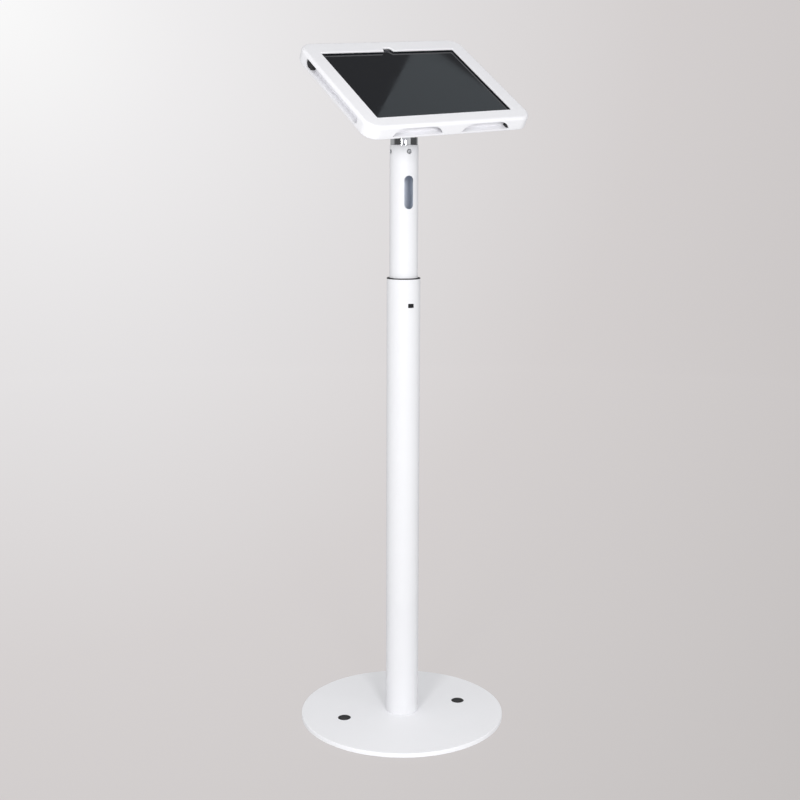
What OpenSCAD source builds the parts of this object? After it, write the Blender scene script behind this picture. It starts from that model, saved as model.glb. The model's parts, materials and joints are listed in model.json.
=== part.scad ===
// Height-adjustable floor stand with a tilting, turning tablet enclosure.
// Millimetres, +Z up, the origin on the floor under the middle of the round base.
// The front of the stand faces -Y. The enclosure is drawn partly turned and tilted.

/* [Base] */
// Diameter of the round base plate
base_d = 380; // [320:5:460]
// Thickness of the base plate
base_t = 8; // [7:0.5:14]
// Rounding of the base plate's top edge
base_edge_r = 1.5; // [0.5:0.25:3]
// Thickness of the rubber pad glued under the base
pad_t = 1.2; // [0.8:0.1:3]
// Distance from the base's edge to the pad's edge
pad_inset = 6; // [3:1:20]
// Distance between the two floor anchor holes
anchor_spacing = 230; // [160:5:260]
// Diameter of the bolt hole under each plug
anchor_d = 12; // [8:1:16]
// Diameter of the plug in the top of each anchor hole
plug_d = 24; // [18:1:30]
// Thickness of each plug
plug_t = 4; // [2:0.5:5]
// Thread diameter of the bolts that hold the column to the base
foot_bolt_d = 8; // [6:1:10]
// Radius of the circle that those bolts stand on
foot_bolt_r = 17; // [14:0.5:18]
// Number of those bolts
foot_bolt_count = 3; // [3:1:4]
// Thickness of the steel foot inside the lower tube
foot_t = 14; // [10:1:24]

/* [Column] */
// Outside diameter of the lower tube
lower_od = 60.3; // [58:0.1:70]
// Wall of the lower tube
lower_wall = 2; // [1.5:0.1:2.5]
// Length of the lower tube
lower_len = 817.8; // [600:1:1000]
// Outside diameter of the upper tube
upper_od = 50.8; // [48:0.1:52]
// Wall of the upper tube
upper_wall = 1.5; // [1.2:0.1:2.5]
// Length of the upper tube
upper_len = 480; // [420:1:560]
// Length of the upper tube that stands above the collar
extension = 232; // [160:1:300]
// Length of the guide bush inside the lower tube
bush_len = 62; // [58:1:90]
// Thickness of the bush's collar on top of the lower tube
collar_t = 2; // [1:0.25:4]
// Height of the glide ring round the foot of the upper tube
glide_h = 20; // [10:1:40]
// Width of the window that the bush's snap tab shows in
window_w = 11.4; // [8:0.2:16]
// Height of that window
window_h = 7.6; // [5:0.2:10]
// Distance from the lower tube's top edge down to the window's middle
window_drop = 46.5; // [42:0.5:50]
// Angle of the window round the column, from the front
window_turn = 6; // [-30:1:30]
// Thread diameter of the height lock screw
lock_d = 8; // [6:1:10]
// Distance from the lower tube's top edge down to the lock screw
lock_drop = 27; // [20:1:32]
// Diameter of the boss that the lock screw runs in
lock_boss_d = 17; // [14:1:22]
// Height of that boss over the tube
lock_boss_h = 7; // [5:0.5:12]
// Width of the cable slot in the upper tube
slot_w = 16.6; // [10:0.2:24]
// Length of the cable slot
slot_len = 58; // [40:1:80]
// Distance from the upper tube's top edge down to the slot's middle
slot_drop = 81.5; // [75:0.5:120]
// Diameter of the cable exit at the back of the lower tube
exit_d = 18; // [14:1:24]
// Height of the cable exit above the base plate
exit_h = 45; // [36:1:120]

/* [Neck and tilt hinge] */
// Diameter of the bright neck above the upper tube
neck_d = 48.5; // [44:0.5:50]
// Height of the bright neck
neck_h = 14; // [10:1:30]
// Diameter of the neck's spigot inside the upper tube
spigot_d = 38; // [34:0.5:40]
// Length of the spigot
spigot_len = 26; // [22:1:40]
// Depth of the groove that the set screws run in
groove_depth = 2; // [1:0.25:4]
// Thread diameter of the set screws
set_screw_d = 8; // [6:1:9]
// Distance from the upper tube's top edge down to the set screws
set_screw_drop = 11; // [9:0.5:14]
// Height of the tilt axis above the neck's top face
pivot_rise = 28; // [24:1:40]
// Width of the neck's tongue along the tilt axis
tongue_w = 24; // [18:1:30]
// Depth of the tongue, which is also the width of the bracket's ears
ear_w = 26; // [22:1:34]
// Thickness of each bracket ear
ear_t = 5; // [3:0.5:8]
// Thread diameter of the tilt pivot bolt
pivot_d = 10; // [8:1:12]
// Thickness of each plain steel washer
washer_t = 2; // [1:0.25:3]
// Thickness of each slip washer between the tongue and an ear
slip_washer_t = 1.5; // [1:0.25:3]
// Diameter of the bracket's round flange
bracket_d = 80; // [76:1:96]
// Thickness of the bracket's flange
bracket_t = 5; // [4:0.5:8]

/* [Turntable] */
// Distance from the tilt axis to the back of the enclosure
reach = 55.8; // [50:0.2:80]
// Side of the square mounting plate
plate_w = 120; // [116:1:150]
// Thickness of the mounting plate
plate_t = 3; // [2:0.25:5]
// Corner radius of the mounting plate
plate_r = 7; // [2:0.5:12]
// Distance between the mounting plate's screws
plate_pitch = 100; // [96:1:106]
// Diameter of those screws
plate_screw_d = 4; // [3:0.5:5]
// Diameter of the turntable's hub bolt
hub_d = 12; // [10:1:14]
// Diameter of the hub bolt's low head
hub_head_d = 24; // [20:1:28]
// Thickness of the hub bolt's head
hub_head_t = 5; // [4:0.5:7]
// Diameter of the slip disc between the bracket and the mounting plate
slip_disc_d = 52; // [40:1:56]
// Thickness of the slip disc
slip_disc_t = 1.5; // [1:0.25:3]
// Diameter of the turn stop pin
stop_d = 6; // [4:0.5:7]
// Distance from the hub to the stop pin
stop_r = 33; // [32:0.5:34]
// Angle that the enclosure can turn from landscape to portrait
turn_range = 90; // [60:5:120]

/* [Enclosure] */
// Width of the enclosure
case_w = 336; // [330:1:380]
// Height of the enclosure along its face
case_h = 260; // [256:1:300]
// Corner radius of the enclosure's outline
case_r = 25; // [22:1:30]
// Rounding of the cover's front edge
case_edge_r = 6; // [4:0.5:8]
// Depth of the front cover from its face to its rim
cover_depth = 20.5; // [19:0.5:30]
// Wall of the front cover
cover_wall = 3; // [2:0.25:3.5]
// Distance that the cover reaches over the tablet's edge, along its width
frame_side = 6.7; // [5:0.1:20]
// Distance that the cover reaches over the tablet's edge, along its height
frame_end = 9.7; // [7.5:0.1:24]
// Distance from the enclosure's middle down to the opening's middle
opening_drop = 2; // [0:0.5:4]
// Width of the chamfer round the opening
opening_chamfer = 1.2; // [0.5:0.1:2]
// Depth of the camera notch in the opening's top edge
notch_depth = 9.5; // [6:0.5:10]
// Width of the camera notch at the opening's edge
notch_w = 21; // [18:1:30]
// Width of the camera notch at its top
notch_top_w = 15; // [12:0.5:17]
// Corner radius of the camera notch
notch_r = 4; // [2:0.5:5]
// Thickness of the back plate
back_t = 4.3; // [3.5:0.1:6]
// Rounding of the back plate's rear edge
back_edge_r = 2; // [1:0.25:3]
// Distance that the back plate stays inside the cover's outline
back_inset = 0.5; // [0.2:0.1:2]
// Height of the cut-outs in the cover's rim
cut_h = 15; // [10:0.5:16]
// Distance from the middle to each cut-out in the long walls
cut_x = 69.5; // [60:0.5:74]
// Half the width of a long wall's cut-out at the rim
cut_half_base = 51; // [44:1:54]
// Half the width of a long wall's cut-out at its top
cut_half_top = 40; // [24:1:42]
// Corner radius of the long walls' cut-outs
cut_r = 14; // [4:0.5:15]
// Half the length of the slot in each short wall
side_half = 91.5; // [70:0.5:95]
// Corner radius of the short walls' slots
side_r = 6; // [3:0.5:8]
// Length of the corner blocks in from the enclosure's outline, along its width
block_long = 52; // [38:1:58]
// Length of the lower corner blocks in from the enclosure's outline, along its height
block_short = 39; // [35:1:50]
// Length of the upper corner blocks in from the enclosure's outline, along its height
block_upper = 54; // [35:1:60]
// Distance from the enclosure's outline in to the back plate's inner walls
tray_inset = 12; // [10:0.5:12]
// Thickness of those inner walls
tray_wall = 2; // [1.5:0.25:3]
// Height of those inner walls above the back plate
tray_h = 15.5; // [6:0.5:16]
// Diameter of the cover's screw bosses
boss_d = 9; // [7:0.5:11]
// Thread diameter of the cover screws
cover_screw_d = 3.5; // [3:0.25:4]
// Depth of the cover screws' holes in the bosses
boss_hole = 12; // [8:0.5:14]
// Width of the cable hole in the back plate
cable_hole_w = 36; // [28:1:50]
// Height of the cable hole
cable_hole_h = 18; // [14:1:24]
// Distance from the enclosure's middle down to the cable hole
cable_hole_drop = 84; // [80:1:90]

/* [Tablet] */
// Distance from the enclosure's outline in to the tablet, along its width
tablet_side = 23; // [20:0.5:25]
// Distance from the enclosure's outline in to the tablet, along its height
tablet_end = 20.5; // [18:0.5:22]
// Thickness of the tablet
tablet_t = 7.5; // [6:0.25:9]
// Corner radius of the tablet
tablet_r = 14; // [10:1:18]
// Thickness of the tablet's cover glass
glass_t = 1; // [0.6:0.1:1.5]
// Distance from the tablet's edge in to the edge of its glass
glass_inset = 1; // [0.5:0.25:2]
// Thickness of the gasket between the cover and the glass
gasket_t = 2; // [1:0.25:3]
// Diameter of the camera window in the glass
lens_d = 5; // [3:0.5:7]
// Side of each square foam pad behind the tablet
back_pad_w = 42; // [30:1:60]
// Corner radius of those pads
back_pad_r = 6; // [2:0.5:12]
// Distance between the pads along the tablet's width
back_pad_pitch_x = 180; // [150:1:210]
// Distance between the pads along the tablet's height
back_pad_pitch_y = 120; // [80:1:140]
// Width of the gasket between the cover and the glass
gasket_w = 2; // [1:0.25:3]
// Distance from the opening's edge out to the gasket
gasket_inset = 2; // [0.5:0.25:2.5]

/* [Pose] */
// Turn of the enclosure about the column, to the stand's left
head_turn = 6.5; // [-60:0.5:60]
// Tilt of the screen up from lying flat
head_tilt = 35; // [0:1:90]
// Turn of the enclosure in its own plane, from landscape
head_spin = 8; // [0:1:60]

/* [Hidden] */
$fn = 96;

// Radial room of a running fit, and of a fastener or plug in its hole
run_fit = 0.05;
// Room between flat faces that slide on each other
slide_gap = 0.1;
// Room round screws in clearance holes, round snap tabs and at screw tips
free_gap = 0.3;
// Overlap that joins the shapes of one solid, and overshoot of a cut
join = 1;
// Overlap of a round corner over the leaning sides that it joins
lap = 0.01;

// Sizes of fasteners over their thread diameter: hexagons across corners, hexagon heads,
// nuts, washers, sockets, and the width and height of pan heads
hex_ratio = 1.8;
hex_head_ratio = 0.64;
hex_nut_ratio = 0.84;
washer_ratio = 2;
socket_ratio = 0.58;
pan_ratio = 1.9;
pan_head_ratio = 0.58;

// Heights along the column
base_top = pad_t + base_t;
lower_top = base_top + lower_len;
collar_top = lower_top + collar_t;
mast_top = collar_top + extension;
mast_foot = mast_top - upper_len;
neck_base = mast_top + slide_gap;
neck_top = neck_base + neck_h;
pivot_z = neck_top + pivot_rise;

// Radii of the column
lower_r = lower_od / 2;
lower_bore_r = lower_r - lower_wall;
upper_r = upper_od / 2;
upper_bore_r = upper_r - upper_wall;
spigot_r = spigot_d / 2;
groove_r = spigot_r - groove_depth;
groove_h = set_screw_d + 2 * free_gap;
neck_chamfer = 1;
set_screw_z = mast_top - set_screw_drop;

// Small parts of the column
plug_lip_t = 1;
plug_stem_d = anchor_d - 2 * run_fit;
foot_head_d = washer_ratio * foot_bolt_d;
foot_head_t = (foot_head_d - foot_bolt_d) / 2;
foot_sink_d = foot_head_d + 4 * free_gap;
foot_bolt_turn = 90;
tab_recess = 0.6;
lock_stand = 2;
grommet_lip = 3;
grommet_wall = 2.5;
window_corner_r = 1.5;

// Places along the tilt bracket, measured from the tilt axis towards the screen
plate_back = reach - plate_t;
slip_back = plate_back - slide_gap - slip_disc_t;
bracket_back = slip_back - bracket_t;
ear_in = tongue_w / 2 + slide_gap + slip_washer_t;
ear_out = ear_in + ear_t;
pivot_washer_d = washer_ratio * pivot_d;
pivot_hex_d = hex_ratio * pivot_d;
pivot_head_t = hex_head_ratio * pivot_d;
pivot_nut_t = hex_nut_ratio * pivot_d;
hub_hex_d = hex_ratio * hub_d;
hub_nut_t = hex_nut_ratio * hub_d;
hub_washer_d = washer_ratio * hub_d;
thread_end = 2;
stop_angle = 45;
stop_slot_d = stop_d + 2 * free_gap;

// Places along the enclosure, measured from the tilt axis towards the screen
back_front = reach + back_t;
case_front = back_front + cover_depth;
cover_under = case_front - cover_wall;
glass_top = cover_under - gasket_t;
glass_back = glass_top - glass_t;
tablet_back = glass_top - tablet_t;

// Tablet, opening, corner blocks and bosses, from the enclosure's outline inwards
inner_w = case_w - 2 * cover_wall;
inner_h = case_h - 2 * cover_wall;
tablet_w = case_w - 2 * tablet_side;
tablet_h = case_h - 2 * tablet_end;
opening_w = tablet_w - 2 * frame_side;
opening_h = tablet_h - 2 * frame_end;
block_x = case_w / 2 - block_long;
block_y = case_h / 2 - block_short;
upper_y = case_h / 2 - block_upper;
boss_r = boss_d / 2;
boss_gap = 7.5;
boss_out = (case_r - cover_wall - boss_r - boss_gap) * sin(45);
boss_mid_y = inner_h / 2 - boss_r + join;
boss_corner_x = case_w / 2 - case_r + boss_out;
boss_corner_y = case_h / 2 - case_r + boss_out;
boss_places = [
  [0, boss_mid_y], [0, -boss_mid_y],
  [boss_corner_x, boss_corner_y], [-boss_corner_x, boss_corner_y],
  [-boss_corner_x, -boss_corner_y], [boss_corner_x, -boss_corner_y]
];
cover_head_d = pan_ratio * cover_screw_d;
cover_head_t = pan_head_ratio * cover_screw_d;
plate_head_d = pan_ratio * plate_screw_d;
plate_head_t = pan_head_ratio * plate_screw_d;
hub_hole_gap = 3;
hub_hole_d = hub_head_d + 2 * hub_hole_gap;
lens_y = opening_h / 2 + notch_depth / 2;

// Shared outlines

module rounded_rect(w, h, r) {
  square([w - 2 * r, h], center = true);
  square([w, h - 2 * r], center = true);
  for (sx = [-1, 1], sy = [-1, 1])
    translate([sx * (w / 2 - r), sy * (h / 2 - r)]) circle(r);
}

module stadium(w, h) {
  square([w - h, h], center = true);
  for (sx = [-1, 1])
    translate([sx * (w - h) / 2, 0]) circle(h / 2);
}

// A box from the corner at 0, 0 whose far top corner is rounded
module round_corner(w, h, r) {
  square([w - r, h]);
  square([w, h - r]);
  translate([w - r, h - r]) circle(r);
}

// A cut-out that opens downwards, with leaning sides and rounded top corners
module rim_cut(half_base, half_top, h, corner_r) {
  r = min(corner_r, h);
  lean = atan2(half_base - half_top, h);
  cx = half_top - r * (1 - sin(lean)) / cos(lean);
  side_x = cx + r * cos(lean);
  side_y = h - r + r * sin(lean);
  low_x = half_base + join * tan(lean);
  polygon([
    [-low_x, -join], [low_x, -join], [side_x, side_y], [cx, h],
    [-cx, h], [-side_x, side_y]
  ]);
  for (sx = [-1, 1])
    translate([sx * cx, h - r]) circle(r + lap);
}

// Sweeps a rim profile round a rounded rectangle; the profile's x runs from the
// corner's axis at 0 out to the outline at r, and its y runs up
module rim_sweep(w, h, r) {
  for (i = [0:3]) {
    corner_x = (i == 0 || i == 3) ? w / 2 - r : r - w / 2;
    corner_y = (i < 2) ? h / 2 - r : r - h / 2;
    side_at = (i % 2 == 0) ? w / 2 - r : h / 2 - r;
    side_len = (i % 2 == 0) ? h - 2 * r : w - 2 * r;
    translate([corner_x, corner_y, 0])
      rotate([0, 0, 90 * i]) rotate_extrude(angle = 90) children();
    rotate([0, 0, 90 * i])
      translate([side_at, side_len / 2, 0])
        rotate([90, 0, 0]) linear_extrude(side_len) children();
  }
}

module ring(outer_r, inner_r, h) {
  difference() {
    cylinder(h = h, r = outer_r);
    translate([0, 0, -join]) cylinder(h = h + 2 * join, r = inner_r);
  }
}

// A round bar along the tilt axis, from x0 to x1
module x_bar(x0, x1, r, sides = $fn) {
  translate([x0, 0, 0]) rotate([0, 90, 0]) cylinder(h = x1 - x0, r = r, $fn = sides);
}

// A round bar from the column's axis outwards, at an angle from the front
module spoke(turn, z, r0, r1, r, sides = $fn) {
  rotate([0, 0, turn]) translate([0, -r0, z])
    rotate([90, 0, 0]) cylinder(h = r1 - r0, r = r, $fn = sides);
}

module hex_nut(across, bore_r, h) {
  difference() {
    cylinder(h = h, r = across / 2, $fn = 6);
    translate([0, 0, -join]) cylinder(h = h + 2 * join, r = bore_r);
  }
}

// Frames that follow the neck, the tilt bracket and the enclosure

module at_neck() {
  rotate([0, 0, head_turn]) children();
}

module at_tilt() {
  translate([0, 0, pivot_z]) at_neck() rotate([head_tilt, 0, 0]) children();
}

module at_case() {
  at_tilt() rotate([0, 0, head_spin]) children();
}

// Base and lower tube

module at_anchors() {
  for (sx = [-1, 1])
    translate([sx * anchor_spacing / 2, 0, 0]) children();
}

module at_foot_bolts() {
  for (i = [0:foot_bolt_count - 1])
    rotate([0, 0, 360 * i / foot_bolt_count + foot_bolt_turn]) translate([foot_bolt_r, 0, 0]) children();
}

module base_plate() {
  color("white")
  difference() {
    translate([0, 0, pad_t]) rotate_extrude() round_corner(base_d / 2, base_t, base_edge_r);
    at_anchors() {
      translate([0, 0, base_top - plug_t]) cylinder(h = plug_t + join, d = plug_d + 2 * run_fit);
      cylinder(h = base_top + join, d = anchor_d);
    }
    at_foot_bolts() {
      cylinder(h = base_top + join, d = foot_bolt_d + 2 * free_gap);
      translate([0, 0, pad_t])
        cylinder(h = foot_head_t + free_gap, d1 = foot_sink_d, d2 = foot_bolt_d + 2 * free_gap);
      cylinder(h = pad_t + run_fit, d = foot_sink_d);
    }
  }
}

module floor_pad() {
  color("dimgray")
  difference() {
    cylinder(h = pad_t, d = base_d - 2 * pad_inset);
    at_anchors() translate([0, 0, -join]) cylinder(h = pad_t + 2 * join, d = plug_d);
  }
}

module anchor_plugs() {
  color("black")
  at_anchors() {
    translate([0, 0, base_top - plug_t]) cylinder(h = plug_t, d = plug_d);
    translate([0, 0, base_top - plug_t - plug_lip_t])
      cylinder(h = plug_lip_t + join, d = plug_stem_d);
  }
}

module column_foot() {
  color("silver")
  translate([0, 0, base_top])
  difference() {
    cylinder(h = foot_t, r = lower_bore_r - run_fit);
    at_foot_bolts() translate([0, 0, -join])
      cylinder(h = foot_t + 2 * join, d = foot_bolt_d + 2 * run_fit);
  }
}

module foot_bolts() {
  color("gray")
  at_foot_bolts() translate([0, 0, pad_t]) {
    cylinder(h = foot_head_t, d1 = foot_head_d, d2 = foot_bolt_d);
    cylinder(h = base_t + foot_t, d = foot_bolt_d);
  }
}

module window_block(w, h, corner_r, r0, r1) {
  rotate([0, 0, window_turn]) translate([0, -r0, lower_top - window_drop])
    rotate([90, 0, 0]) linear_extrude(r1 - r0) rounded_rect(w, h, corner_r);
}

module lower_tube() {
  color("white")
  difference() {
    translate([0, 0, base_top]) ring(lower_r, lower_bore_r, lower_len);
    window_block(window_w, window_h, window_corner_r, lower_bore_r - join, lower_r + join);
    spoke(180, lower_top - lock_drop, lower_bore_r - join, lower_r + join, lock_d / 2 + free_gap);
    spoke(180, base_top + exit_h, lower_bore_r - join - grommet_wall, lower_r + join, exit_d / 2);
  }
}

module exit_grommet() {
  color("black")
  difference() {
    union() {
      difference() {
        spoke(180, base_top + exit_h, 0, lower_r + grommet_wall, exit_d / 2 + grommet_lip);
        translate([0, 0, base_top]) cylinder(h = lower_len, r = lower_r + run_fit);
      }
      spoke(180, base_top + exit_h, lower_bore_r - grommet_wall, lower_r + join, exit_d / 2 - run_fit);
    }
    spoke(180, base_top + exit_h, 0, lower_r + grommet_wall + join, exit_d / 2 - grommet_wall);
  }
}

module guide_bush() {
  color("black")
  difference() {
    union() {
      translate([0, 0, lower_top - bush_len]) cylinder(h = bush_len + join, r = lower_bore_r - run_fit);
      translate([0, 0, lower_top]) cylinder(h = collar_t, r = lower_r - run_fit);
      intersection() {
        window_block(window_w - 2 * free_gap, window_h - 2 * free_gap, window_corner_r - free_gap,
          lower_bore_r - join, lower_r);
        translate([0, 0, lower_top - bush_len]) cylinder(h = bush_len, r = lower_r - tab_recess);
      }
    }
    translate([0, 0, lower_top - bush_len - join])
      cylinder(h = bush_len + collar_t + 2 * join, r = upper_r + run_fit);
    spoke(180, lower_top - lock_drop, upper_r - join, lower_r, lock_d / 2 + free_gap);
  }
}

module lock_boss() {
  color("white")
  difference() {
    spoke(180, lower_top - lock_drop, 0, lower_r + lock_boss_h, lock_boss_d / 2);
    translate([0, 0, lower_top - lower_len]) cylinder(h = lower_len, r = lower_r + run_fit);
    spoke(180, lower_top - lock_drop, 0, lower_r + lock_boss_h + join, lock_d / 2 + run_fit);
  }
}

// A screw without a head, whose socket faces outwards
module set_screw(turn, z, tip_r, end_r, d) {
  difference() {
    spoke(turn, z, tip_r, end_r, d / 2);
    spoke(turn, z, end_r - d / 2, end_r + join, d * socket_ratio / 2, 6);
  }
}

module lock_screw() {
  color("dimgray")
  set_screw(180, lower_top - lock_drop, upper_r + free_gap, lower_r + lock_boss_h + lock_stand, lock_d);
}

// Upper tube

module upper_tube() {
  color("white")
  difference() {
    translate([0, 0, mast_foot]) ring(upper_r, upper_bore_r, upper_len);
    translate([0, -upper_bore_r / 2, mast_top - slot_drop])
      rotate([90, 90, 0]) linear_extrude(upper_r) stadium(slot_len, slot_w);
    for (turn = [0:90:270])
      spoke(turn, set_screw_z, upper_bore_r - join, upper_r + join, set_screw_d / 2 + free_gap);
  }
}

module glide_ring() {
  color("black")
  translate([0, 0, mast_foot]) {
    ring(lower_bore_r - slide_gap, upper_r + run_fit, glide_h);
    translate([0, 0, -collar_t]) ring(lower_bore_r - slide_gap, upper_bore_r, collar_t);
  }
}

module clamp_ring() {
  color("silver")
  difference() {
    translate([0, 0, mast_top - spigot_len])
      ring(upper_bore_r - run_fit, spigot_r + run_fit, spigot_len);
    for (turn = [0:90:270])
      spoke(turn, set_screw_z, spigot_r - join, upper_r, set_screw_d / 2 + run_fit);
  }
}

module neck_set_screws() {
  color("dimgray")
  for (turn = [0:90:270])
    set_screw(turn, set_screw_z, groove_r + free_gap, upper_r - tab_recess, set_screw_d);
}

// Neck

module swivel_neck() {
  groove_low = set_screw_z - groove_h / 2;
  groove_high = set_screw_z + groove_h / 2;
  color("lightsteelblue")
  difference() {
    union() {
      rotate_extrude() polygon([
        [0, mast_top - spigot_len],
        [spigot_r - neck_chamfer, mast_top - spigot_len],
        [spigot_r, mast_top - spigot_len + neck_chamfer],
        [spigot_r, groove_low], [groove_r, groove_low],
        [groove_r, groove_high], [spigot_r, groove_high],
        [spigot_r, neck_base],
        [neck_d / 2, neck_base],
        [neck_d / 2, neck_top - neck_chamfer],
        [neck_d / 2 - neck_chamfer, neck_top],
        [0, neck_top]
      ]);
      at_neck() translate([-tongue_w / 2, 0, pivot_z]) rotate([90, 0, 90])
        linear_extrude(tongue_w) {
          circle(d = ear_w);
          translate([-ear_w / 2, -pivot_rise - join]) square([ear_w, pivot_rise + join]);
        }
    }
    translate([0, 0, pivot_z]) at_neck() x_bar(-tongue_w, tongue_w, pivot_d / 2 + run_fit);
  }
}

// Tilt bracket and its fasteners

module tilt_bracket() {
  color("gray")
  at_tilt()
  difference() {
    union() {
      translate([0, 0, bracket_back]) cylinder(h = bracket_t, d = bracket_d);
      for (sx = [-1, 1])
        translate([sx * (ear_in + ear_out) / 2 - ear_t / 2, 0, 0]) rotate([90, 0, 90])
          linear_extrude(ear_t) {
            circle(d = ear_w);
            translate([-ear_w / 2, 0]) square([ear_w, bracket_back + join]);
          }
    }
    x_bar(-ear_out - join, ear_out + join, pivot_d / 2 + run_fit);
    cylinder(h = reach, d = hub_d + 2 * run_fit);
    rotate([0, 0, stop_angle]) translate([stop_r, 0, 0]) cylinder(h = reach, d = stop_d + 2 * run_fit);
  }
}

module pivot_bolt() {
  head_x = -ear_out - washer_t - pivot_head_t;
  color("silver")
  at_tilt() {
    x_bar(head_x, head_x + pivot_head_t, pivot_hex_d / 2, 6);
    x_bar(head_x, ear_out + washer_t + pivot_nut_t + thread_end, pivot_d / 2);
  }
}

module pivot_nut() {
  color("silver")
  at_tilt() translate([ear_out + washer_t, 0, 0]) rotate([0, 90, 0])
    hex_nut(pivot_hex_d, pivot_d / 2 + run_fit, pivot_nut_t);
}

module pivot_washers() {
  color("silver")
  at_tilt()
  for (x = [-ear_out - washer_t, ear_out])
    translate([x, 0, 0]) rotate([0, 90, 0]) ring(pivot_washer_d / 2, pivot_d / 2 + run_fit, washer_t);
}

module slip_washers() {
  color("ivory")
  at_tilt()
  for (x = [-ear_in, ear_in - slip_washer_t])
    translate([x, 0, 0]) rotate([0, 90, 0])
      ring(pivot_washer_d / 2, pivot_d / 2 + run_fit, slip_washer_t);
}

module slip_disc() {
  color("ivory")
  at_tilt() translate([0, 0, slip_back])
    ring(slip_disc_d / 2, hub_d / 2 + run_fit, slip_disc_t);
}

module hub_bolt() {
  head_low = reach + slide_gap;
  end_low = bracket_back - washer_t - hub_nut_t - thread_end;
  color("silver")
  at_tilt()
  difference() {
    union() {
      translate([0, 0, head_low]) cylinder(h = hub_head_t, d = hub_head_d);
      translate([0, 0, end_low]) cylinder(h = head_low + join - end_low, d = hub_d);
    }
    translate([0, 0, head_low + hub_head_t / 2])
      cylinder(h = hub_head_t, d = hub_d * socket_ratio, $fn = 6);
  }
}

module hub_washer() {
  color("silver")
  at_tilt() translate([0, 0, bracket_back - washer_t])
    ring(hub_washer_d / 2, hub_d / 2 + run_fit, washer_t);
}

module hub_nut() {
  color("silver")
  at_tilt() translate([0, 0, bracket_back - washer_t - hub_nut_t])
    hex_nut(hub_hex_d, hub_d / 2 + run_fit, hub_nut_t);
}

module stop_pin() {
  color("silver")
  at_tilt() rotate([0, 0, stop_angle]) translate([stop_r, 0, bracket_back])
    cylinder(h = reach - bracket_back - free_gap, d = stop_d);
}

// Enclosure

module at_plate_screws() {
  for (sx = [-1, 1], sy = [-1, 1])
    translate([sx * plate_pitch / 2, sy * plate_pitch / 2, 0]) children();
}

module at_bosses() {
  for (place = boss_places)
    translate([place[0], place[1], 0]) children();
}

module cable_hole(w, h, z, t) {
  translate([0, -cable_hole_drop, z]) linear_extrude(t) stadium(w, h);
}

module mounting_plate() {
  slot_low = stop_angle - turn_range;
  color("gray")
  at_case()
  difference() {
    translate([0, 0, plate_back]) linear_extrude(plate_t) rounded_rect(plate_w, plate_w, plate_r);
    cylinder(h = reach + join, d = hub_d + 2 * run_fit);
    rotate([0, 0, slot_low])
      translate([0, 0, plate_back - join]) rotate_extrude(angle = turn_range)
        translate([stop_r - stop_slot_d / 2, 0]) square([stop_slot_d, plate_t + 2 * join]);
    for (end = [slot_low, stop_angle])
      rotate([0, 0, end]) translate([stop_r, 0, 0]) cylinder(h = reach + join, d = stop_slot_d);
    at_plate_screws() cylinder(h = reach + join, d = plate_screw_d + 2 * free_gap);
  }
}

module plate_screws() {
  color("silver")
  at_case() at_plate_screws() {
    translate([0, 0, plate_back - plate_head_t]) cylinder(h = plate_head_t, d = plate_head_d);
    translate([0, 0, plate_back - join]) cylinder(h = plate_t + back_t + join, d = plate_screw_d);
  }
}

module back_profile() {
  translate([0, back_t]) mirror([0, 1]) round_corner(case_r - back_inset, back_t, back_edge_r);
}

module tray_walls() {
  wall_x = case_w / 2 - tray_inset - tray_wall;
  wall_y = case_h / 2 - tray_inset - tray_wall;
  short_len = block_y + upper_y - 2 * join;
  long_low = boss_r + 2 * join;
  long_len = block_x - join - long_low;
  wall_h = tray_h + join;
  wall_mid = back_front - join + wall_h / 2;
  for (sx = [-1, 1])
    translate([sx * (wall_x + tray_wall / 2), (upper_y - block_y) / 2, wall_mid])
      cube([tray_wall, short_len, wall_h], center = true);
  for (sx = [-1, 1], sy = [-1, 1])
    translate([sx * (long_low + long_len / 2), sy * (wall_y + tray_wall / 2), wall_mid])
      cube([long_len, tray_wall, wall_h], center = true);
}

module back_plate() {
  plate_outline_w = case_w - 2 * back_inset;
  plate_outline_h = case_h - 2 * back_inset;
  middle_w = plate_outline_w - 2 * (case_r - back_inset);
  middle_h = plate_outline_h - 2 * (case_r - back_inset);
  color("white")
  at_case()
  difference() {
    union() {
      translate([0, 0, reach]) {
        rim_sweep(plate_outline_w, plate_outline_h, case_r - back_inset) back_profile();
        translate([-middle_w / 2, -middle_h / 2, 0]) cube([middle_w, middle_h, back_t]);
      }
      tray_walls();
    }
    translate([0, 0, reach - join]) cylinder(h = back_t + 2 * join, d = hub_hole_d);
    at_plate_screws() translate([0, 0, reach - join])
      cylinder(h = back_t + 2 * join, d = plate_screw_d + 2 * run_fit);
    at_bosses() translate([0, 0, reach - join]) {
      cylinder(h = back_t + 2 * join, d = cover_screw_d + 2 * free_gap);
      cylinder(h = join + cover_head_t + free_gap, d = cover_head_d + 2 * free_gap);
    }
    cable_hole(cable_hole_w, cable_hole_h, reach - join, back_t + 2 * join);
  }
}

module cover_screws() {
  color("dimgray")
  at_case() at_bosses() translate([0, 0, reach + free_gap]) {
    cylinder(h = cover_head_t, d = cover_head_d);
    cylinder(h = back_t + boss_hole - join, d = cover_screw_d);
  }
}

module cable_grommet() {
  lip_w = cable_hole_w + 2 * grommet_lip;
  lip_h = cable_hole_h + 2 * grommet_lip;
  color("black")
  at_case()
  difference() {
    union() {
      cable_hole(lip_w, lip_h, reach - grommet_wall, grommet_wall - run_fit);
      cable_hole(cable_hole_w - 2 * run_fit, cable_hole_h - 2 * run_fit, reach - join, back_t + join);
    }
    cable_hole(cable_hole_w - 2 * grommet_wall, cable_hole_h - 2 * grommet_wall,
      reach - grommet_wall - join, back_t + grommet_wall + 2 * join);
  }
}

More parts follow.
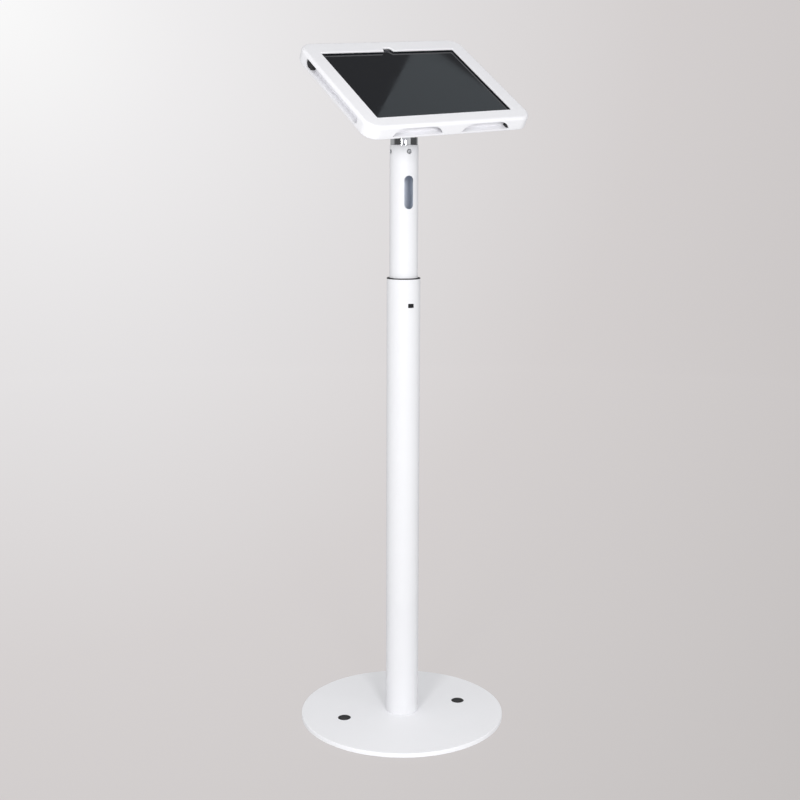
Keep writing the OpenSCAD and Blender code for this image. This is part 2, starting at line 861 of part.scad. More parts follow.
module back_pads() {
  color("dimgray")
  at_case() translate([0, -opening_drop, back_front])
  for (sx = [-1, 1], sy = [-1, 1])
    translate([sx * back_pad_pitch_x / 2, sy * back_pad_pitch_y / 2, 0])
      linear_extrude(tablet_back - back_front) rounded_rect(back_pad_w, back_pad_w, back_pad_r);
}

module corner_blocks() {
  far_w = inner_w - 2 * free_gap;
  far_h = inner_h - 2 * free_gap;
  corner_r = case_r - cover_wall - free_gap;
  color("black")
  at_case() translate([0, 0, back_front])
  linear_extrude(glass_top - back_front)
  for (sx = [-1, 1], sy = [-1, 1]) {
    end_y = sy > 0 ? upper_y : block_y;
    difference() {
      intersection() {
        rounded_rect(far_w, far_h, corner_r);
        translate([sx * (block_x + far_w / 2) - far_w / 2, sy * (end_y + far_h / 2) - far_h / 2])
          square([far_w, far_h]);
      }
      translate([0, -opening_drop])
        rounded_rect(tablet_w + 2 * free_gap, tablet_h + 2 * free_gap, tablet_r + free_gap);
      translate([sx * boss_corner_x, sy * boss_corner_y]) circle(boss_r + free_gap);
    }
  }
}

module at_tablet(z) {
  at_case() translate([0, -opening_drop, z]) children();
}

module tablet_shell() {
  color("gray")
  at_tablet(tablet_back) linear_extrude(glass_back - tablet_back)
    rounded_rect(tablet_w, tablet_h, tablet_r);
}

module tablet_glass() {
  color("black")
  at_tablet(glass_back) linear_extrude(glass_t)
  difference() {
    rounded_rect(tablet_w - 2 * glass_inset, tablet_h - 2 * glass_inset, tablet_r - glass_inset);
    translate([0, lens_y]) circle(d = lens_d + 2 * run_fit);
  }
}

module camera_lens() {
  color("navy")
  at_tablet(glass_back) translate([0, lens_y, 0]) cylinder(h = glass_t, d = lens_d);
}

module notch() {
  translate([0, opening_h / 2]) rim_cut(notch_w / 2, notch_top_w / 2, notch_depth, notch_r);
}

module screen_gasket() {
  gasket_in_w = opening_w + 2 * gasket_inset;
  gasket_in_h = opening_h + 2 * gasket_inset;
  color("black")
  at_tablet(glass_top) linear_extrude(gasket_t)
  difference() {
    square([gasket_in_w + 2 * gasket_w, gasket_in_h + 2 * gasket_w], center = true);
    square([gasket_in_w, gasket_in_h], center = true);
    notch();
  }
}

module cover_profile() {
  difference() {
    round_corner(case_r, cover_depth, case_edge_r);
    translate([-join, -join])
      round_corner(case_r - cover_wall + join, cover_depth - cover_wall + join, case_edge_r - cover_wall);
  }
}

// A straight chamfer along one side of the opening
module chamfer_bar(len, at) {
  translate([-len / 2, at, case_front]) rotate([90, 0, 90]) linear_extrude(len)
    polygon([[-join, -opening_chamfer - join], [opening_chamfer + join, join], [-join, join]]);
}

module opening_cut() {
  long_len = opening_w + 2 * opening_chamfer;
  short_len = opening_h + 2 * opening_chamfer;
  translate([0, -opening_drop, 0]) {
    translate([0, 0, cover_under - join]) linear_extrude(cover_wall + 2 * join) {
      square([opening_w, opening_h], center = true);
      notch();
    }
    intersection() {
      translate([0, 0, cover_under]) linear_extrude(2 * cover_wall)
        square([long_len, short_len], center = true);
      for (turn = [0, 180])
        rotate([0, 0, turn]) {
          chamfer_bar(long_len, opening_h / 2);
          rotate([0, 0, 90]) chamfer_bar(short_len, opening_w / 2);
        }
    }
  }
}

module rim_cuts() {
  for (turn = [0, 180])
    rotate([0, 0, turn]) {
      for (sx = [-1, 1])
        translate([sx * cut_x, -inner_h / 2 + join, back_front]) rotate([90, 0, 0])
          linear_extrude(cover_wall + 2 * join) rim_cut(cut_half_base, cut_half_top, cut_h, cut_r);
      translate([inner_w / 2 - join, 0, back_front]) rotate([90, 0, 90])
        linear_extrude(cover_wall + 2 * join) rim_cut(side_half, side_half, cut_h, side_r);
    }
}

module front_cover() {
  middle_w = case_w - 2 * case_r;
  middle_h = case_h - 2 * case_r;
  color("white")
  at_case()
  difference() {
    union() {
      translate([0, 0, back_front]) rim_sweep(case_w, case_h, case_r) cover_profile();
      translate([-middle_w / 2, -middle_h / 2, cover_under]) cube([middle_w, middle_h, cover_wall]);
      at_bosses() translate([0, 0, back_front]) cylinder(h = cover_depth - join, d = boss_d);
    }
    opening_cut();
    rim_cuts();
    at_bosses() translate([0, 0, back_front - join])
      cylinder(h = boss_hole + join, d = cover_screw_d + 2 * run_fit);
  }
}

base_plate();
floor_pad();
anchor_plugs();
column_foot();
foot_bolts();
lower_tube();
exit_grommet();
guide_bush();
lock_boss();
lock_screw();
upper_tube();
glide_ring();
clamp_ring();
neck_set_screws();
swivel_neck();
tilt_bracket();
pivot_bolt();
pivot_nut();
pivot_washers();
slip_washers();
slip_disc();
hub_bolt();
hub_washer();
hub_nut();
stop_pin();
mounting_plate();
plate_screws();
back_plate();
cover_screws();
cable_grommet();
back_pads();
corner_blocks();
tablet_shell();
tablet_glass();
camera_lens();
screen_gasket();
front_cover();
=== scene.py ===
"""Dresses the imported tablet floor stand: its pieces, finishes, studio and camera, in metres."""
import json
import math

import bmesh
import bpy
from mathutils import Matrix, Vector


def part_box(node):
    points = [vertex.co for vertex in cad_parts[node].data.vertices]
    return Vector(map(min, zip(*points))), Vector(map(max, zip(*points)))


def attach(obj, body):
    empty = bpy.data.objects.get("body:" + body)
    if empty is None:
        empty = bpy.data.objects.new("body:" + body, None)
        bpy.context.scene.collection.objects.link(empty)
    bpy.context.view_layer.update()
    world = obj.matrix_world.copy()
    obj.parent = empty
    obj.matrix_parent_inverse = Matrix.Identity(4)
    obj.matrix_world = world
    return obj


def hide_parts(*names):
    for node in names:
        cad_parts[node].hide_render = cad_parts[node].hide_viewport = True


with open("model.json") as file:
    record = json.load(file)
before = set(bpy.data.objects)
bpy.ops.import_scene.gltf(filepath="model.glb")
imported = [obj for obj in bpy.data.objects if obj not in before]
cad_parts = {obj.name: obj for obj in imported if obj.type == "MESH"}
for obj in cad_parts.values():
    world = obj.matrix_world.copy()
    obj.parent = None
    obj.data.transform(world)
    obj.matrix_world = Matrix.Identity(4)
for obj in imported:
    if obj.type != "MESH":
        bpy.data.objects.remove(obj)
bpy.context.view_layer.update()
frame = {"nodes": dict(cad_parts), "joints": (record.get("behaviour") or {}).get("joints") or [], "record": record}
nodes = frame["nodes"]
joints = {joint["name"]: joint for joint in frame["joints"]}

MM = 0.001
X, Y, Z = 0, 1, 2
QUARTER = math.radians(90)
BOTH_SIDES = (-1, 1)


# Finishes

MIDDLE_NOISE = 0.3, 0.7
SKIN_DRIFT = 7.0
SKIN_BUMP = 0.35
TOOL_BUMP = 0.3
GLASS_IOR = 1.5
GLASS_GLOSS = 0.02, 0.09
SMEARS = 0.45, 0.8
SPECK_SCALE = 700.0
SPECKS = 0.74, 0.8
SPECK_SHARE = 0.05
SPECK_TONE = (0.5, 0.5, 0.5)
MIX_SHARE, MIX_FIRST, MIX_SECOND, MIX_RESULT = 0, 6, 7, 2


def start_group(name, inputs, outputs):
    """A shader group with its named sockets; an input is a name, a socket type and a start value."""
    group = bpy.data.node_groups.new(name, "ShaderNodeTree")
    for label, kind, value in inputs:
        socket = group.interface.new_socket(label, in_out="INPUT", socket_type=kind)
        if value is not None:
            socket.default_value = value
    for label, kind in outputs:
        group.interface.new_socket(label, in_out="OUTPUT", socket_type=kind)
    ends = group.nodes.new("NodeGroupInput"), group.nodes.new("NodeGroupOutput")
    return group, ends[0].outputs, ends[1].inputs


def add_node(tree, kind, inputs, **settings):
    """A node with its settings; an input is a number, a row of numbers or a socket."""
    node = tree.nodes.new(kind)
    for name, value in settings.items():
        setattr(node, name, value)
    for label, value in inputs.items():
        if isinstance(value, bpy.types.NodeSocket):
            tree.links.new(value, node.inputs[label])
        else:
            node.inputs[label].default_value = value
    return node


def add_noise(tree, place, scale, detail, roughness):
    """A noise texture on a place socket."""
    inputs = {"Vector": place, "Scale": scale, "Detail": detail, "Roughness": roughness}
    return add_node(tree, "ShaderNodeTexNoise", inputs).outputs["Fac"]


def add_math(tree, how, first, second):
    """One sum of two values."""
    return add_node(tree, "ShaderNodeMath", {0: first, 1: second}, operation=how).outputs[0]


def add_vector(tree, how, first, second=(0, 0, 0)):
    """One sum of two vectors, or one step with the first of them."""
    node = add_node(tree, "ShaderNodeVectorMath", {0: first, 1: second}, operation=how)
    return node.outputs["Value" if how in ("LENGTH", "DOT_PRODUCT") else "Vector"]


def add_range(tree, value, low, high, new_low, new_high):
    """Maps a value from one range to another, clamped."""
    inputs = {"Value": value, "From Min": low, "From Max": high, "To Min": new_low, "To Max": new_high}
    return add_node(tree, "ShaderNodeMapRange", inputs).outputs["Result"]


def add_mix(tree, share, first, second):
    """A colour between two colours, each a tone or a socket."""
    first, second = ((*tone, 1) if isinstance(tone, tuple) else tone for tone in (first, second))
    inputs = {MIX_SHARE: share, MIX_FIRST: first, MIX_SECOND: second}
    return add_node(tree, "ShaderNodeMix", inputs, data_type="RGBA").outputs[MIX_RESULT]


def add_bump(tree, height, strength, depth):
    """A bump of a given depth in metres."""
    inputs = {"Height": height, "Strength": strength, "Distance": depth}
    return add_node(tree, "ShaderNodeBump", inputs).outputs["Normal"]


def make_grain():
    """Fine surface grain, and a slow drift of tone and gloss over the piece."""
    group, given, made = start_group(
        "surface_grain",
        [("Place", "NodeSocketVector", None), ("Grain Scale", "NodeSocketFloat", 900.0)],
        [("Grain", "NodeSocketFloat"), ("Drift", "NodeSocketFloat")],
    )
    fine = add_noise(group, given["Place"], given["Grain Scale"], detail=2.0, roughness=0.6)
    slow = add_noise(group, given["Place"], SKIN_DRIFT, detail=3.0, roughness=0.55)
    group.links.new(fine, made["Grain"])
    group.links.new(slow, made["Drift"])
    return group


grain_group = make_grain()


class Finish:
    """One procedural material, with its shader and its place on the piece."""

    def __init__(self, name, roughness, metallic=0.0):
        self.material = bpy.data.materials.new(name)
        self.material.use_nodes = True
        self.tree = self.material.node_tree
        self.tree.nodes.clear()
        output = self.tree.nodes.new("ShaderNodeOutputMaterial")
        self.shader = self.tree.nodes.new("ShaderNodeBsdfPrincipled")
        self.tree.links.new(self.shader.outputs["BSDF"], output.inputs["Surface"])
        self.shader.inputs["Roughness"].default_value = roughness
        self.shader.inputs["Metallic"].default_value = metallic
        self.place = self.tree.nodes.new("ShaderNodeTexCoord").outputs["Object"]

    def stretched_place(self, scale):
        """Object coordinates, stretched by a scale for each axis."""
        inputs = {"Vector": self.place, "Scale": scale}
        return add_node(self.tree, "ShaderNodeMapping", inputs).outputs["Vector"]

    def within(self, radius):
        """One inside a radius about the column's axis, and nought outside it."""
        reach = add_vector(self.tree, "LENGTH", self.stretched_place((1, 1, 0)))
        return add_math(self.tree, "LESS_THAN", reach, radius)

    def grain(self, grain_scale, place=None):
        """The grain and the drift of the shared group."""
        inputs = {"Place": place or self.place, "Grain Scale": grain_scale}
        node = add_node(self.tree, "ShaderNodeGroup", inputs, node_tree=grain_group)
        return node.outputs["Grain"], node.outputs["Drift"]

    def set(self, label, socket):
        self.tree.links.new(socket, self.shader.inputs[label])


def coated(name, light, dark, gloss, grain_scale, depth, bore=None, shine=0.5):
    """Paint, plastic or rubber with two close tones and a fine skin; a tube has primer in its bore."""
    finish = Finish(name, gloss[0])
    finish.shader.inputs["Specular IOR Level"].default_value = shine
    grain, drift = finish.grain(grain_scale)
    skin = add_mix(finish.tree, add_range(finish.tree, drift, *MIDDLE_NOISE, 0.0, 1.0), dark, light)
    if bore is not None:
        skin = add_mix(finish.tree, finish.within(bore), skin, BORE_PRIMER)
    finish.set("Base Color", skin)
    finish.set("Roughness", add_range(finish.tree, drift, *MIDDLE_NOISE, *gloss))
    finish.set("Normal", add_bump(finish.tree, grain, SKIN_BUMP, depth))
    return finish.material


def metal(name, light, dark, gloss, stretch, depth):
    """Bare or plated metal with tool marks along one direction."""
    finish = Finish(name, gloss[0], metallic=1.0)
    marks = finish.grain(1.0, finish.stretched_place(stretch))[0]
    finish.set("Base Color", add_mix(finish.tree, marks, dark, light))
    finish.set("Roughness", add_range(finish.tree, marks, *MIDDLE_NOISE, *gloss))
    finish.set("Normal", add_bump(finish.tree, marks, TOOL_BUMP, depth))
    return finish.material


def dark_glass(name, colour, smear_scale):
    """Glossy dark glass with a little grease and dust on it."""
    finish = Finish(name, GLASS_GLOSS[0])
    finish.shader.inputs["IOR"].default_value = GLASS_IOR
    smear = add_noise(finish.tree, finish.place, smear_scale, detail=5.0, roughness=0.65)
    finish.set("Roughness", add_range(finish.tree, smear, *SMEARS, *GLASS_GLOSS))
    specks = add_noise(finish.tree, finish.place, SPECK_SCALE, detail=2.0, roughness=0.5)
    dust = add_range(finish.tree, specks, *SPECKS, 0.0, SPECK_SHARE)
    finish.set("Base Color", add_mix(finish.tree, dust, colour, SPECK_TONE))
    return finish.material


BORE_PRIMER = (0.82, 0.87, 0.96)
# Painted shade: the column's powder tones are a darker copy of the one white coat that base and column share.
POWDER_SHADED_TONES = (0.800, 0.802, 0.826), (0.782, 0.784, 0.809)
# Painted light: the base's tones are a lighter copy of the same white powder coat, which paints light onto the
# base plate.
BASE_PAINTED_LIGHT_TONES = (0.920, 0.922, 0.948), (0.902, 0.904, 0.930)
POWDER_SKIN = (0.50, 0.58), 750.0, 0.1 * MM

# The lighter copy of the powder coat, which paints light onto the base plate.
base_powder_painted_light = coated("base_coat_painted_light", *BASE_PAINTED_LIGHT_TONES, *POWDER_SKIN)
finish_of_slot = {
    # The darker copy of the powder coat, which paints shade onto the column's parts.
    "white_powder": coated("white_powder_coat_painted_shade", *POWDER_SHADED_TONES, *POWDER_SKIN),
    "white_plastic": coated("white_moulded_plastic", (0.885, 0.883, 0.912), (0.866, 0.864, 0.894),
                            (0.40, 0.48), 1900.0, 0.06 * MM),
    "black_plastic": coated("black_moulded_plastic", (0.022, 0.022, 0.024), (0.014, 0.014, 0.016),
                            (0.34, 0.45), 1700.0, 0.04 * MM, shine=0.25),
    "black_rubber": coated("black_rubber_skin", (0.024, 0.024, 0.026), (0.016, 0.016, 0.018),
                           (0.62, 0.78), 900.0, 0.08 * MM),
    "grey_foam": coated("grey_closed_cell_foam", (0.12, 0.12, 0.125), (0.07, 0.07, 0.074),
                        (0.85, 0.95), 520.0, 0.4 * MM),
    "nylon": coated("natural_nylon", (0.80, 0.78, 0.71), (0.75, 0.73, 0.66),
                    (0.42, 0.52), 1200.0, 0.04 * MM),
    "black_steel": coated("black_oxide_steel", (0.045, 0.045, 0.05), (0.025, 0.025, 0.028),
                          (0.38, 0.52), 1400.0, 0.05 * MM),
    "chrome": metal("polished_chrome", (0.80, 0.81, 0.83), (0.72, 0.73, 0.76),
                    (0.05, 0.11), (12.0, 12.0, 5200.0), 0.008 * MM),
    "steel": metal("zinc_plated_steel", (0.66, 0.67, 0.69), (0.50, 0.51, 0.53),
                   (0.26, 0.42), (500.0, 500.0, 500.0), 0.03 * MM),
    "tablet_metal": metal("anodised_shell", (0.34, 0.35, 0.37), (0.28, 0.29, 0.31),
                          (0.36, 0.44), (2600.0, 2600.0, 2600.0), 0.01 * MM),
    "screen_glass": dark_glass("dark_display_glass", (0.012, 0.013, 0.016), 7.0),
    "lens_glass": dark_glass("camera_lens_glass", (0.010, 0.010, 0.022), 60.0),
}


def paint_cad_nodes():
    """Gives each CAD node the finish of its material slot in the record."""
    for row in frame["record"]["subparts"]:
        for slot in nodes[row["node"]].material_slots:
            slot.material = finish_of_slot[row["material_slot"]]


paint_cad_nodes()


# Places of the parts


def frame_at(origin, x_axis, z_axis):
    """A frame from its origin, its X axis and its Z axis."""
    turn = Matrix((x_axis, z_axis.cross(x_axis), z_axis)).transposed()
    return Matrix.Translation(origin) @ turn.to_4x4()


def shift(x=0, y=0, z=0):
    return Matrix.Translation((x, y, z))


def turn_by(angle, axis):
    return Matrix.Rotation(angle, 4, axis)


hinge_point = Vector(joints["head_tilt"]["pos_m"])
hinge_axis = Vector(joints["head_tilt"]["axis"]).normalized()
screen_out = Vector(joints["head_turn"]["axis"]).normalized()
screen_spin = -math.radians(joints["head_turn"]["range_deg"][0])

AT_STAND = Matrix.Identity(4)
AT_NECK = frame_at(hinge_point, hinge_axis, Vector((0, 0, 1)))
AT_BRACKET = frame_at(hinge_point, hinge_axis, screen_out)
AT_CASE = AT_BRACKET @ turn_by(screen_spin, "Z")
ACROSS = turn_by(QUARTER, "Y")
ALONG_HINGE = AT_BRACKET @ ACROSS
BACKWARDS = turn_by(2 * QUARTER, "X")
TO_BACK = turn_by(-QUARTER, "X")
TO_FRONT = turn_by(QUARTER, "X")


def box_in(node, place):
    """Lowest and highest corner of a CAD node in a frame of its own."""
    back = place.inverted()
    points = [back @ vertex.co for vertex in nodes[node].data.vertices]
    low = Vector([min(point[axis] for point in points) for axis in range(3)])
    high = Vector([max(point[axis] for point in points) for axis in range(3)])
    return low, high


# Workshop: starting, shaping and finishing a piece

COLUMN_SIDES = 128
ROUND_SIDES = 72
RING_SIDES = 64
BORE_SIDES = 48
SCREW_SIDES = 40
PILOT_SIDES = 24
BEND_STEPS = 4
SOFT_STEPS = 5
SAME_POINT = 0.02 * MM
ON_LEVEL = 0.01 * MM
STRAIGHT = 0.99
FLAT_ANGLE = 0.5
HALF_ROUND = 0.999
CREST_LOSS = 0.1
CREST = 0.42, 0.58
TIP_LOSS = 1.6


def only(piece):
    """Selects one piece and nothing else, in object mode."""
    if bpy.context.mode != "OBJECT":
        bpy.ops.object.mode_set(mode="OBJECT")
    bpy.ops.object.select_all(action="DESELECT")
    piece.select_set(True)
    bpy.context.view_layer.objects.active = piece


def take_new(name):
    """Names the primitive just added and puts its place into its mesh."""
    piece = bpy.context.object
    piece.name = name
    bpy.ops.object.transform_apply(location=True, rotation=True, scale=True)
    return piece


def start_block(name, low, high):
    """A block between two corners."""
    bpy.ops.object.select_all(action="DESELECT")
    low, high = Vector(low), Vector(high)
    bpy.ops.mesh.primitive_cube_add(size=1, location=(low + high) / 2, scale=high - low)
    return take_new(name)


def start_drum(name, radius, low, high, sides, place=AT_STAND):
    """A round bar along Z from low to high, then put in place."""
    bpy.ops.object.select_all(action="DESELECT")
    bpy.ops.mesh.primitive_cylinder_add(
        vertices=sides, radius=radius, depth=high - low, location=(0, 0, (low + high) / 2)
    )
    return settle(take_new(name), place)


def settle(piece, place):
    """Moves a piece to its place and puts that into its mesh."""
    only(piece)
    piece.matrix_world = place
    bpy.ops.object.transform_apply(location=True, rotation=True, scale=True)
    return piece


def open_mesh(piece, kind):
    """Goes into edit mode with nothing selected."""
    only(piece)
    bpy.ops.object.mode_set(mode="EDIT")
    bpy.ops.mesh.select_mode(type=kind)
    bpy.ops.mesh.select_all(action="DESELECT")
    return bmesh.from_edit_mesh(piece.data)


def close_mesh():
    bpy.ops.object.mode_set(mode="OBJECT")


def pick_faces(piece, test):
    """Goes into edit mode and selects the faces whose normal passes a test."""
    mesh = open_mesh(piece, "FACE")
    for face in mesh.faces:
        if test(face.normal):
            face.select_set(True)
    bmesh.update_edit_mesh(piece.data)


def round_edges(piece, test, radius, steps):
    """Rounds the edges whose middle, direction and faces pass a test."""
    mesh = open_mesh(piece, "EDGE")
    for edge in mesh.edges:
        start, end = (vertex.co for vertex in edge.verts)
        if test((start + end) / 2, (end - start).normalized(), edge.link_faces):
            edge.select_set(True)
    bmesh.update_edit_mesh(piece.data)
    bpy.ops.mesh.bevel(offset=radius, segments=steps, affect="EDGES", clamp_overlap=True)
    close_mesh()
    return piece


def along(axis, where=None):
    """A test for edges that run along an axis, and whose middle passes a second test."""
    return lambda middle, direction, faces: (
        abs(direction[axis]) > STRAIGHT and (where is None or where(middle))
    )


def at_level(level):
    """A test for edges that lie at one height."""
    return lambda middle, direction, faces: (
        abs(middle.z - level) < ON_LEVEL and abs(direction.z) < 1 - STRAIGHT
    )


def mend(piece):
    """Joins points that lie on top of each other, and drops faces without area."""
    open_mesh(piece, "VERT")
    bpy.ops.mesh.select_all(action="SELECT")
    bpy.ops.mesh.remove_doubles(threshold=SAME_POINT)
    bpy.ops.mesh.dissolve_degenerate(threshold=SAME_POINT)
    close_mesh()
    return piece


def combine(piece, how, *others):
    """Joins, cuts or trims a piece with others, which are used up."""
    for other in others:
        only(piece)
        bpy.ops.object.modifier_add(type="BOOLEAN")
        modifier = piece.modifiers[-1]
        modifier.operation = how
        modifier.solver = "EXACT"
        modifier.object = other
        bpy.ops.object.modifier_apply(modifier=modifier.name)
        bpy.data.objects.remove(other, do_unlink=True)
    return mend(piece)


def cut(piece, *cutters):
    return combine(piece, "DIFFERENCE", *cutters)


def weld(piece, *others):
    return combine(piece, "UNION", *others)


def merge_flats(piece):
    """Joins the faces that lie in one plane."""
    open_mesh(piece, "VERT")
    bpy.ops.mesh.select_all(action="SELECT")
    bpy.ops.mesh.dissolve_limited(angle_limit=math.radians(FLAT_ANGLE))
    close_mesh()
    return piece


def ease(piece, width, steps=2, angle=38):
    """Takes the sharpness off every edge steeper than an angle."""
    only(merge_flats(mend(piece)))
    bpy.ops.object.modifier_add(type="BEVEL")
    modifier = piece.modifiers[-1]
    modifier.width = width
    modifier.segments = steps
    modifier.limit_method = "ANGLE"
    modifier.angle_limit = math.radians(angle)
    bpy.ops.object.modifier_apply(modifier=modifier.name)
    return piece


def smooth(piece, angle=50, weighted=True):
    """Smooth shading that keeps flat faces flat."""
    only(piece)
    bpy.ops.object.shade_smooth_by_angle(angle=math.radians(angle))
    if weighted:
        bpy.ops.object.modifier_add(type="WEIGHTED_NORMAL")
        modifier = piece.modifiers[-1]
        modifier.keep_sharp = True
        bpy.ops.object.modifier_apply(modifier=modifier.name)
    return piece


def keep_order(piece):
    """Sorts edges and faces by their points, because a spin leaves them in another order each run."""
    mesh = bmesh.from_edit_mesh(piece.data)
    mesh.verts.index_update()

    def rank(item):
        number = 0
        for index in sorted(vertex.index for vertex in item.verts)[:3]:
            number = number * len(mesh.verts) + index
        return number

    for row in (mesh.edges, mesh.faces):
        # Last points first: in this order the bracket's edges keep their full rounding.
        row.sort(key=rank, reverse=True)
        row.index_update()
    bmesh.update_edit_mesh(piece.data)


def turned(name, outline, sides):
    """Spins an outline of (radius, height) points round Z, as on a lathe."""
    bpy.ops.object.select_all(action="DESELECT")
    bpy.ops.mesh.primitive_plane_add(size=MM)
    piece = take_new(name)
    open_mesh(piece, "VERT")
    bpy.ops.mesh.select_all(action="SELECT")
    bpy.ops.mesh.merge(type="CENTER")
    bpy.ops.mesh.select_all(action="SELECT")
    bpy.ops.transform.translate(value=(outline[0][0], 0, outline[0][1]))
    for (r_now, z_now), (r_next, z_next) in zip(outline, outline[1:]):
        bpy.ops.mesh.extrude_vertices_move(
            TRANSFORM_OT_translate={"value": (r_next - r_now, 0, z_next - z_now)}
        )
    bpy.ops.mesh.select_all(action="SELECT")
    bpy.ops.mesh.spin(steps=sides, angle=4 * QUARTER, center=(0, 0, 0), axis=(0, 0, 1))
    bpy.ops.mesh.select_all(action="SELECT")
    bpy.ops.mesh.remove_doubles(threshold=0.1 * ON_LEVEL)
    bpy.ops.mesh.normals_make_consistent(inside=False)
    keep_order(piece)
    close_mesh()
    return piece


def bend(r, z, radius, start, end, steps=BEND_STEPS):
    """Points on an arc about (r, z), from one angle to another in degrees."""
    turns = [math.radians(start + (end - start) * i / steps) for i in range(steps + 1)]
    return [(r + radius * math.cos(turn), z + radius * math.sin(turn)) for turn in turns]


def sleeve(outer, inner, low, high, lip):
    """The outline of a tube with rounded ends."""
    points = [(inner, low + lip)]
    points += bend(inner + lip, low + lip, lip, 180, 270)
    points += bend(outer - lip, low + lip, lip, 270, 360)
    points += bend(outer - lip, high - lip, lip, 0, 90)
    points += bend(inner + lip, high - lip, lip, 90, 180)
    return points + points[:1]


def thread(radius, low, high, pitch, depth):
    """The saw-tooth outline of a thread, whose crests are narrow flats."""
    count = max(1, int((high - low) / pitch))
    step = (high - low) / count
    crest_r = radius - CREST_LOSS * depth
    points = []
    for i in range(count):
        base = low + i * step
        points += [(radius - depth, base)]
        points += [(crest_r, base + share * step) for share in CREST]
    return points + [(radius - depth, high)]


def copies_of(piece, name, count):
    """A finished shape and its copies, each with a mesh of its own, numbered from one."""
    pieces = [piece]
    for number in range(2, count + 1):
        twin = piece.copy()
        twin.data = piece.data.copy()
        twin.name = f"{name}_{number}"
        bpy.context.scene.collection.objects.link(twin)
        pieces.append(twin)
    return pieces


def eased_copy(node, name, width):
    """A copy of a CAD node whose edges are taken off."""
    piece = nodes[node].copy()
    piece.data = nodes[node].data.copy()
    piece.name = name
    piece.parent = None
    for key in list(piece.keys()):
        del piece[key]
    bpy.context.scene.collection.objects.link(piece)
    ease(piece, width)
    return smooth(piece)


def fit(piece, body, slot, *stands_for, finish=None):
    """Gives a piece its finish, the body that it rides on and the CAD nodes that it stands for."""
    piece.data.materials.clear()
    piece.data.materials.append(finish or finish_of_slot[slot])
    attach(piece, body)
    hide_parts(*stands_for)
    return piece


# Base and column

base_low, base_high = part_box("base_plate")
lower_low, lower_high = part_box("lower_tube")
upper_low, upper_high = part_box("upper_tube")
plug_low, plug_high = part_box("anchor_plugs")
base_top = base_high.z
lower_r = lower_high.x
upper_r = upper_high.x
LOWER_WALL = 2 * MM
UPPER_WALL = 1.5 * MM
RUN_FIT = 0.05 * MM
FREE_GAP = 0.3 * MM
SEAT_GAP = 0.02 * MM
OVERSHOOT = 1 * MM
TUBE_LIP = 0.35 * MM
TUBE_EASE = 0.3 * MM
RIM_SIDES = 240
PLUG_R = 12 * MM
PLUG_T = 4 * MM
PLUG_STEM_R = 5.95 * MM
ANCHOR_X = (plug_high.x - plug_low.x) / 2 - PLUG_R
WINDOW_W = 11.4 * MM
WINDOW_H = 7.6 * MM
WINDOW_R = 1.5 * MM
WINDOW_Z = lower_high.z - 46.5 * MM
WINDOW_TURN = math.radians(6)
LOCK_R = 4 * MM
LOCK_Z = lower_high.z - 27 * MM
AT_LOCK = shift(z=LOCK_Z) @ TO_BACK
EXIT_R = 9 * MM
EXIT_Z = base_top + 45 * MM
AT_EXIT = shift(z=EXIT_Z) @ TO_BACK
SADDLE = lower_r * 0.8
SLOT_HALF_W = 8.3 * MM
SLOT_HALF_LEN = 29 * MM
SLOT_Z = upper_high.z - 81.5 * MM
SET_SCREW_Z = upper_high.z - 11 * MM
SET_SCREW_R = 4 * MM
GRUB_PITCH = 1.25 * MM
SOCKET_SHARE = 0.58
HEX_SIDES = 6
END_STEPS = 14
TURNED_ANGLE = 40
THREAD_ANGLE = 30


def shaded_tube_powder(name, bore):
    """A darker copy of the powder coat, which paints shade onto the column, and stops at a tube's bore."""
    return coated(name, *POWDER_SHADED_TONES, *POWDER_SKIN, bore=bore + TUBE_LIP)


def make_base_plate():
    """A round plate with a soft upper edge and two stepped anchor holes."""
    edge = 1.5 * MM
    edge_steps = 8
    foot_edge = 0.4 * MM
    anchor_r = 6 * MM
    seat_r = PLUG_R + RUN_FIT
    rim = base_high.x
    outline = [(0, base_low.z), (rim - foot_edge, base_low.z), (rim, base_low.z + foot_edge)]
    outline += bend(rim - edge, base_top - edge, edge, 0, 90, edge_steps)
    outline += [(0, base_top)]
    plate = turned("round_base_plate", outline, RIM_SIDES)
    for side in BOTH_SIDES:
        at = shift(side * ANCHOR_X)
        cut(plate, start_drum("bore", anchor_r, base_low.z - OVERSHOOT, base_top, BORE_SIDES, at))
        cut(plate, start_drum("bore", seat_r, base_top - PLUG_T, base_top + OVERSHOOT, RING_SIDES, at))
    smooth(plate, TURNED_ANGLE)
    # The plate wears the lighter copy of the white powder coat, which paints light onto it.
    fit(plate, "base_column", "white_powder", "base_plate", finish=base_powder_painted_light)


def make_anchor_plugs():
    """Low plugs with a rounded rim, a ring groove and a shallow dish."""
    crown = 0.25 * MM
    rim = 0.7 * MM
    groove = (9.6, 0), (9.3, 0.35), (8.7, 0.35), (8.4, 0)
    dish = (6, 0.12), (3, 0.3), (0, 0.36)
    low = base_top - PLUG_T
    top = base_top + crown
    outline = [(0, low - OVERSHOOT), (PLUG_STEM_R, low - OVERSHOOT), (PLUG_STEM_R, low), (PLUG_R, low)]
    outline += bend(PLUG_R - rim, top - rim, rim, 0, 90, SOFT_STEPS)
    outline += [(radius * MM, top - drop * MM) for radius, drop in (*groove, *dish)]
    plug = smooth(turned("anchor_plug_1", outline, ROUND_SIDES), TURNED_ANGLE, weighted=False)
    for piece, side in zip(copies_of(plug, "anchor_plug", 2), BOTH_SIDES):
        settle(piece, shift(side * ANCHOR_X))
        fit(piece, "base_column", "black_plastic", "anchor_plugs")


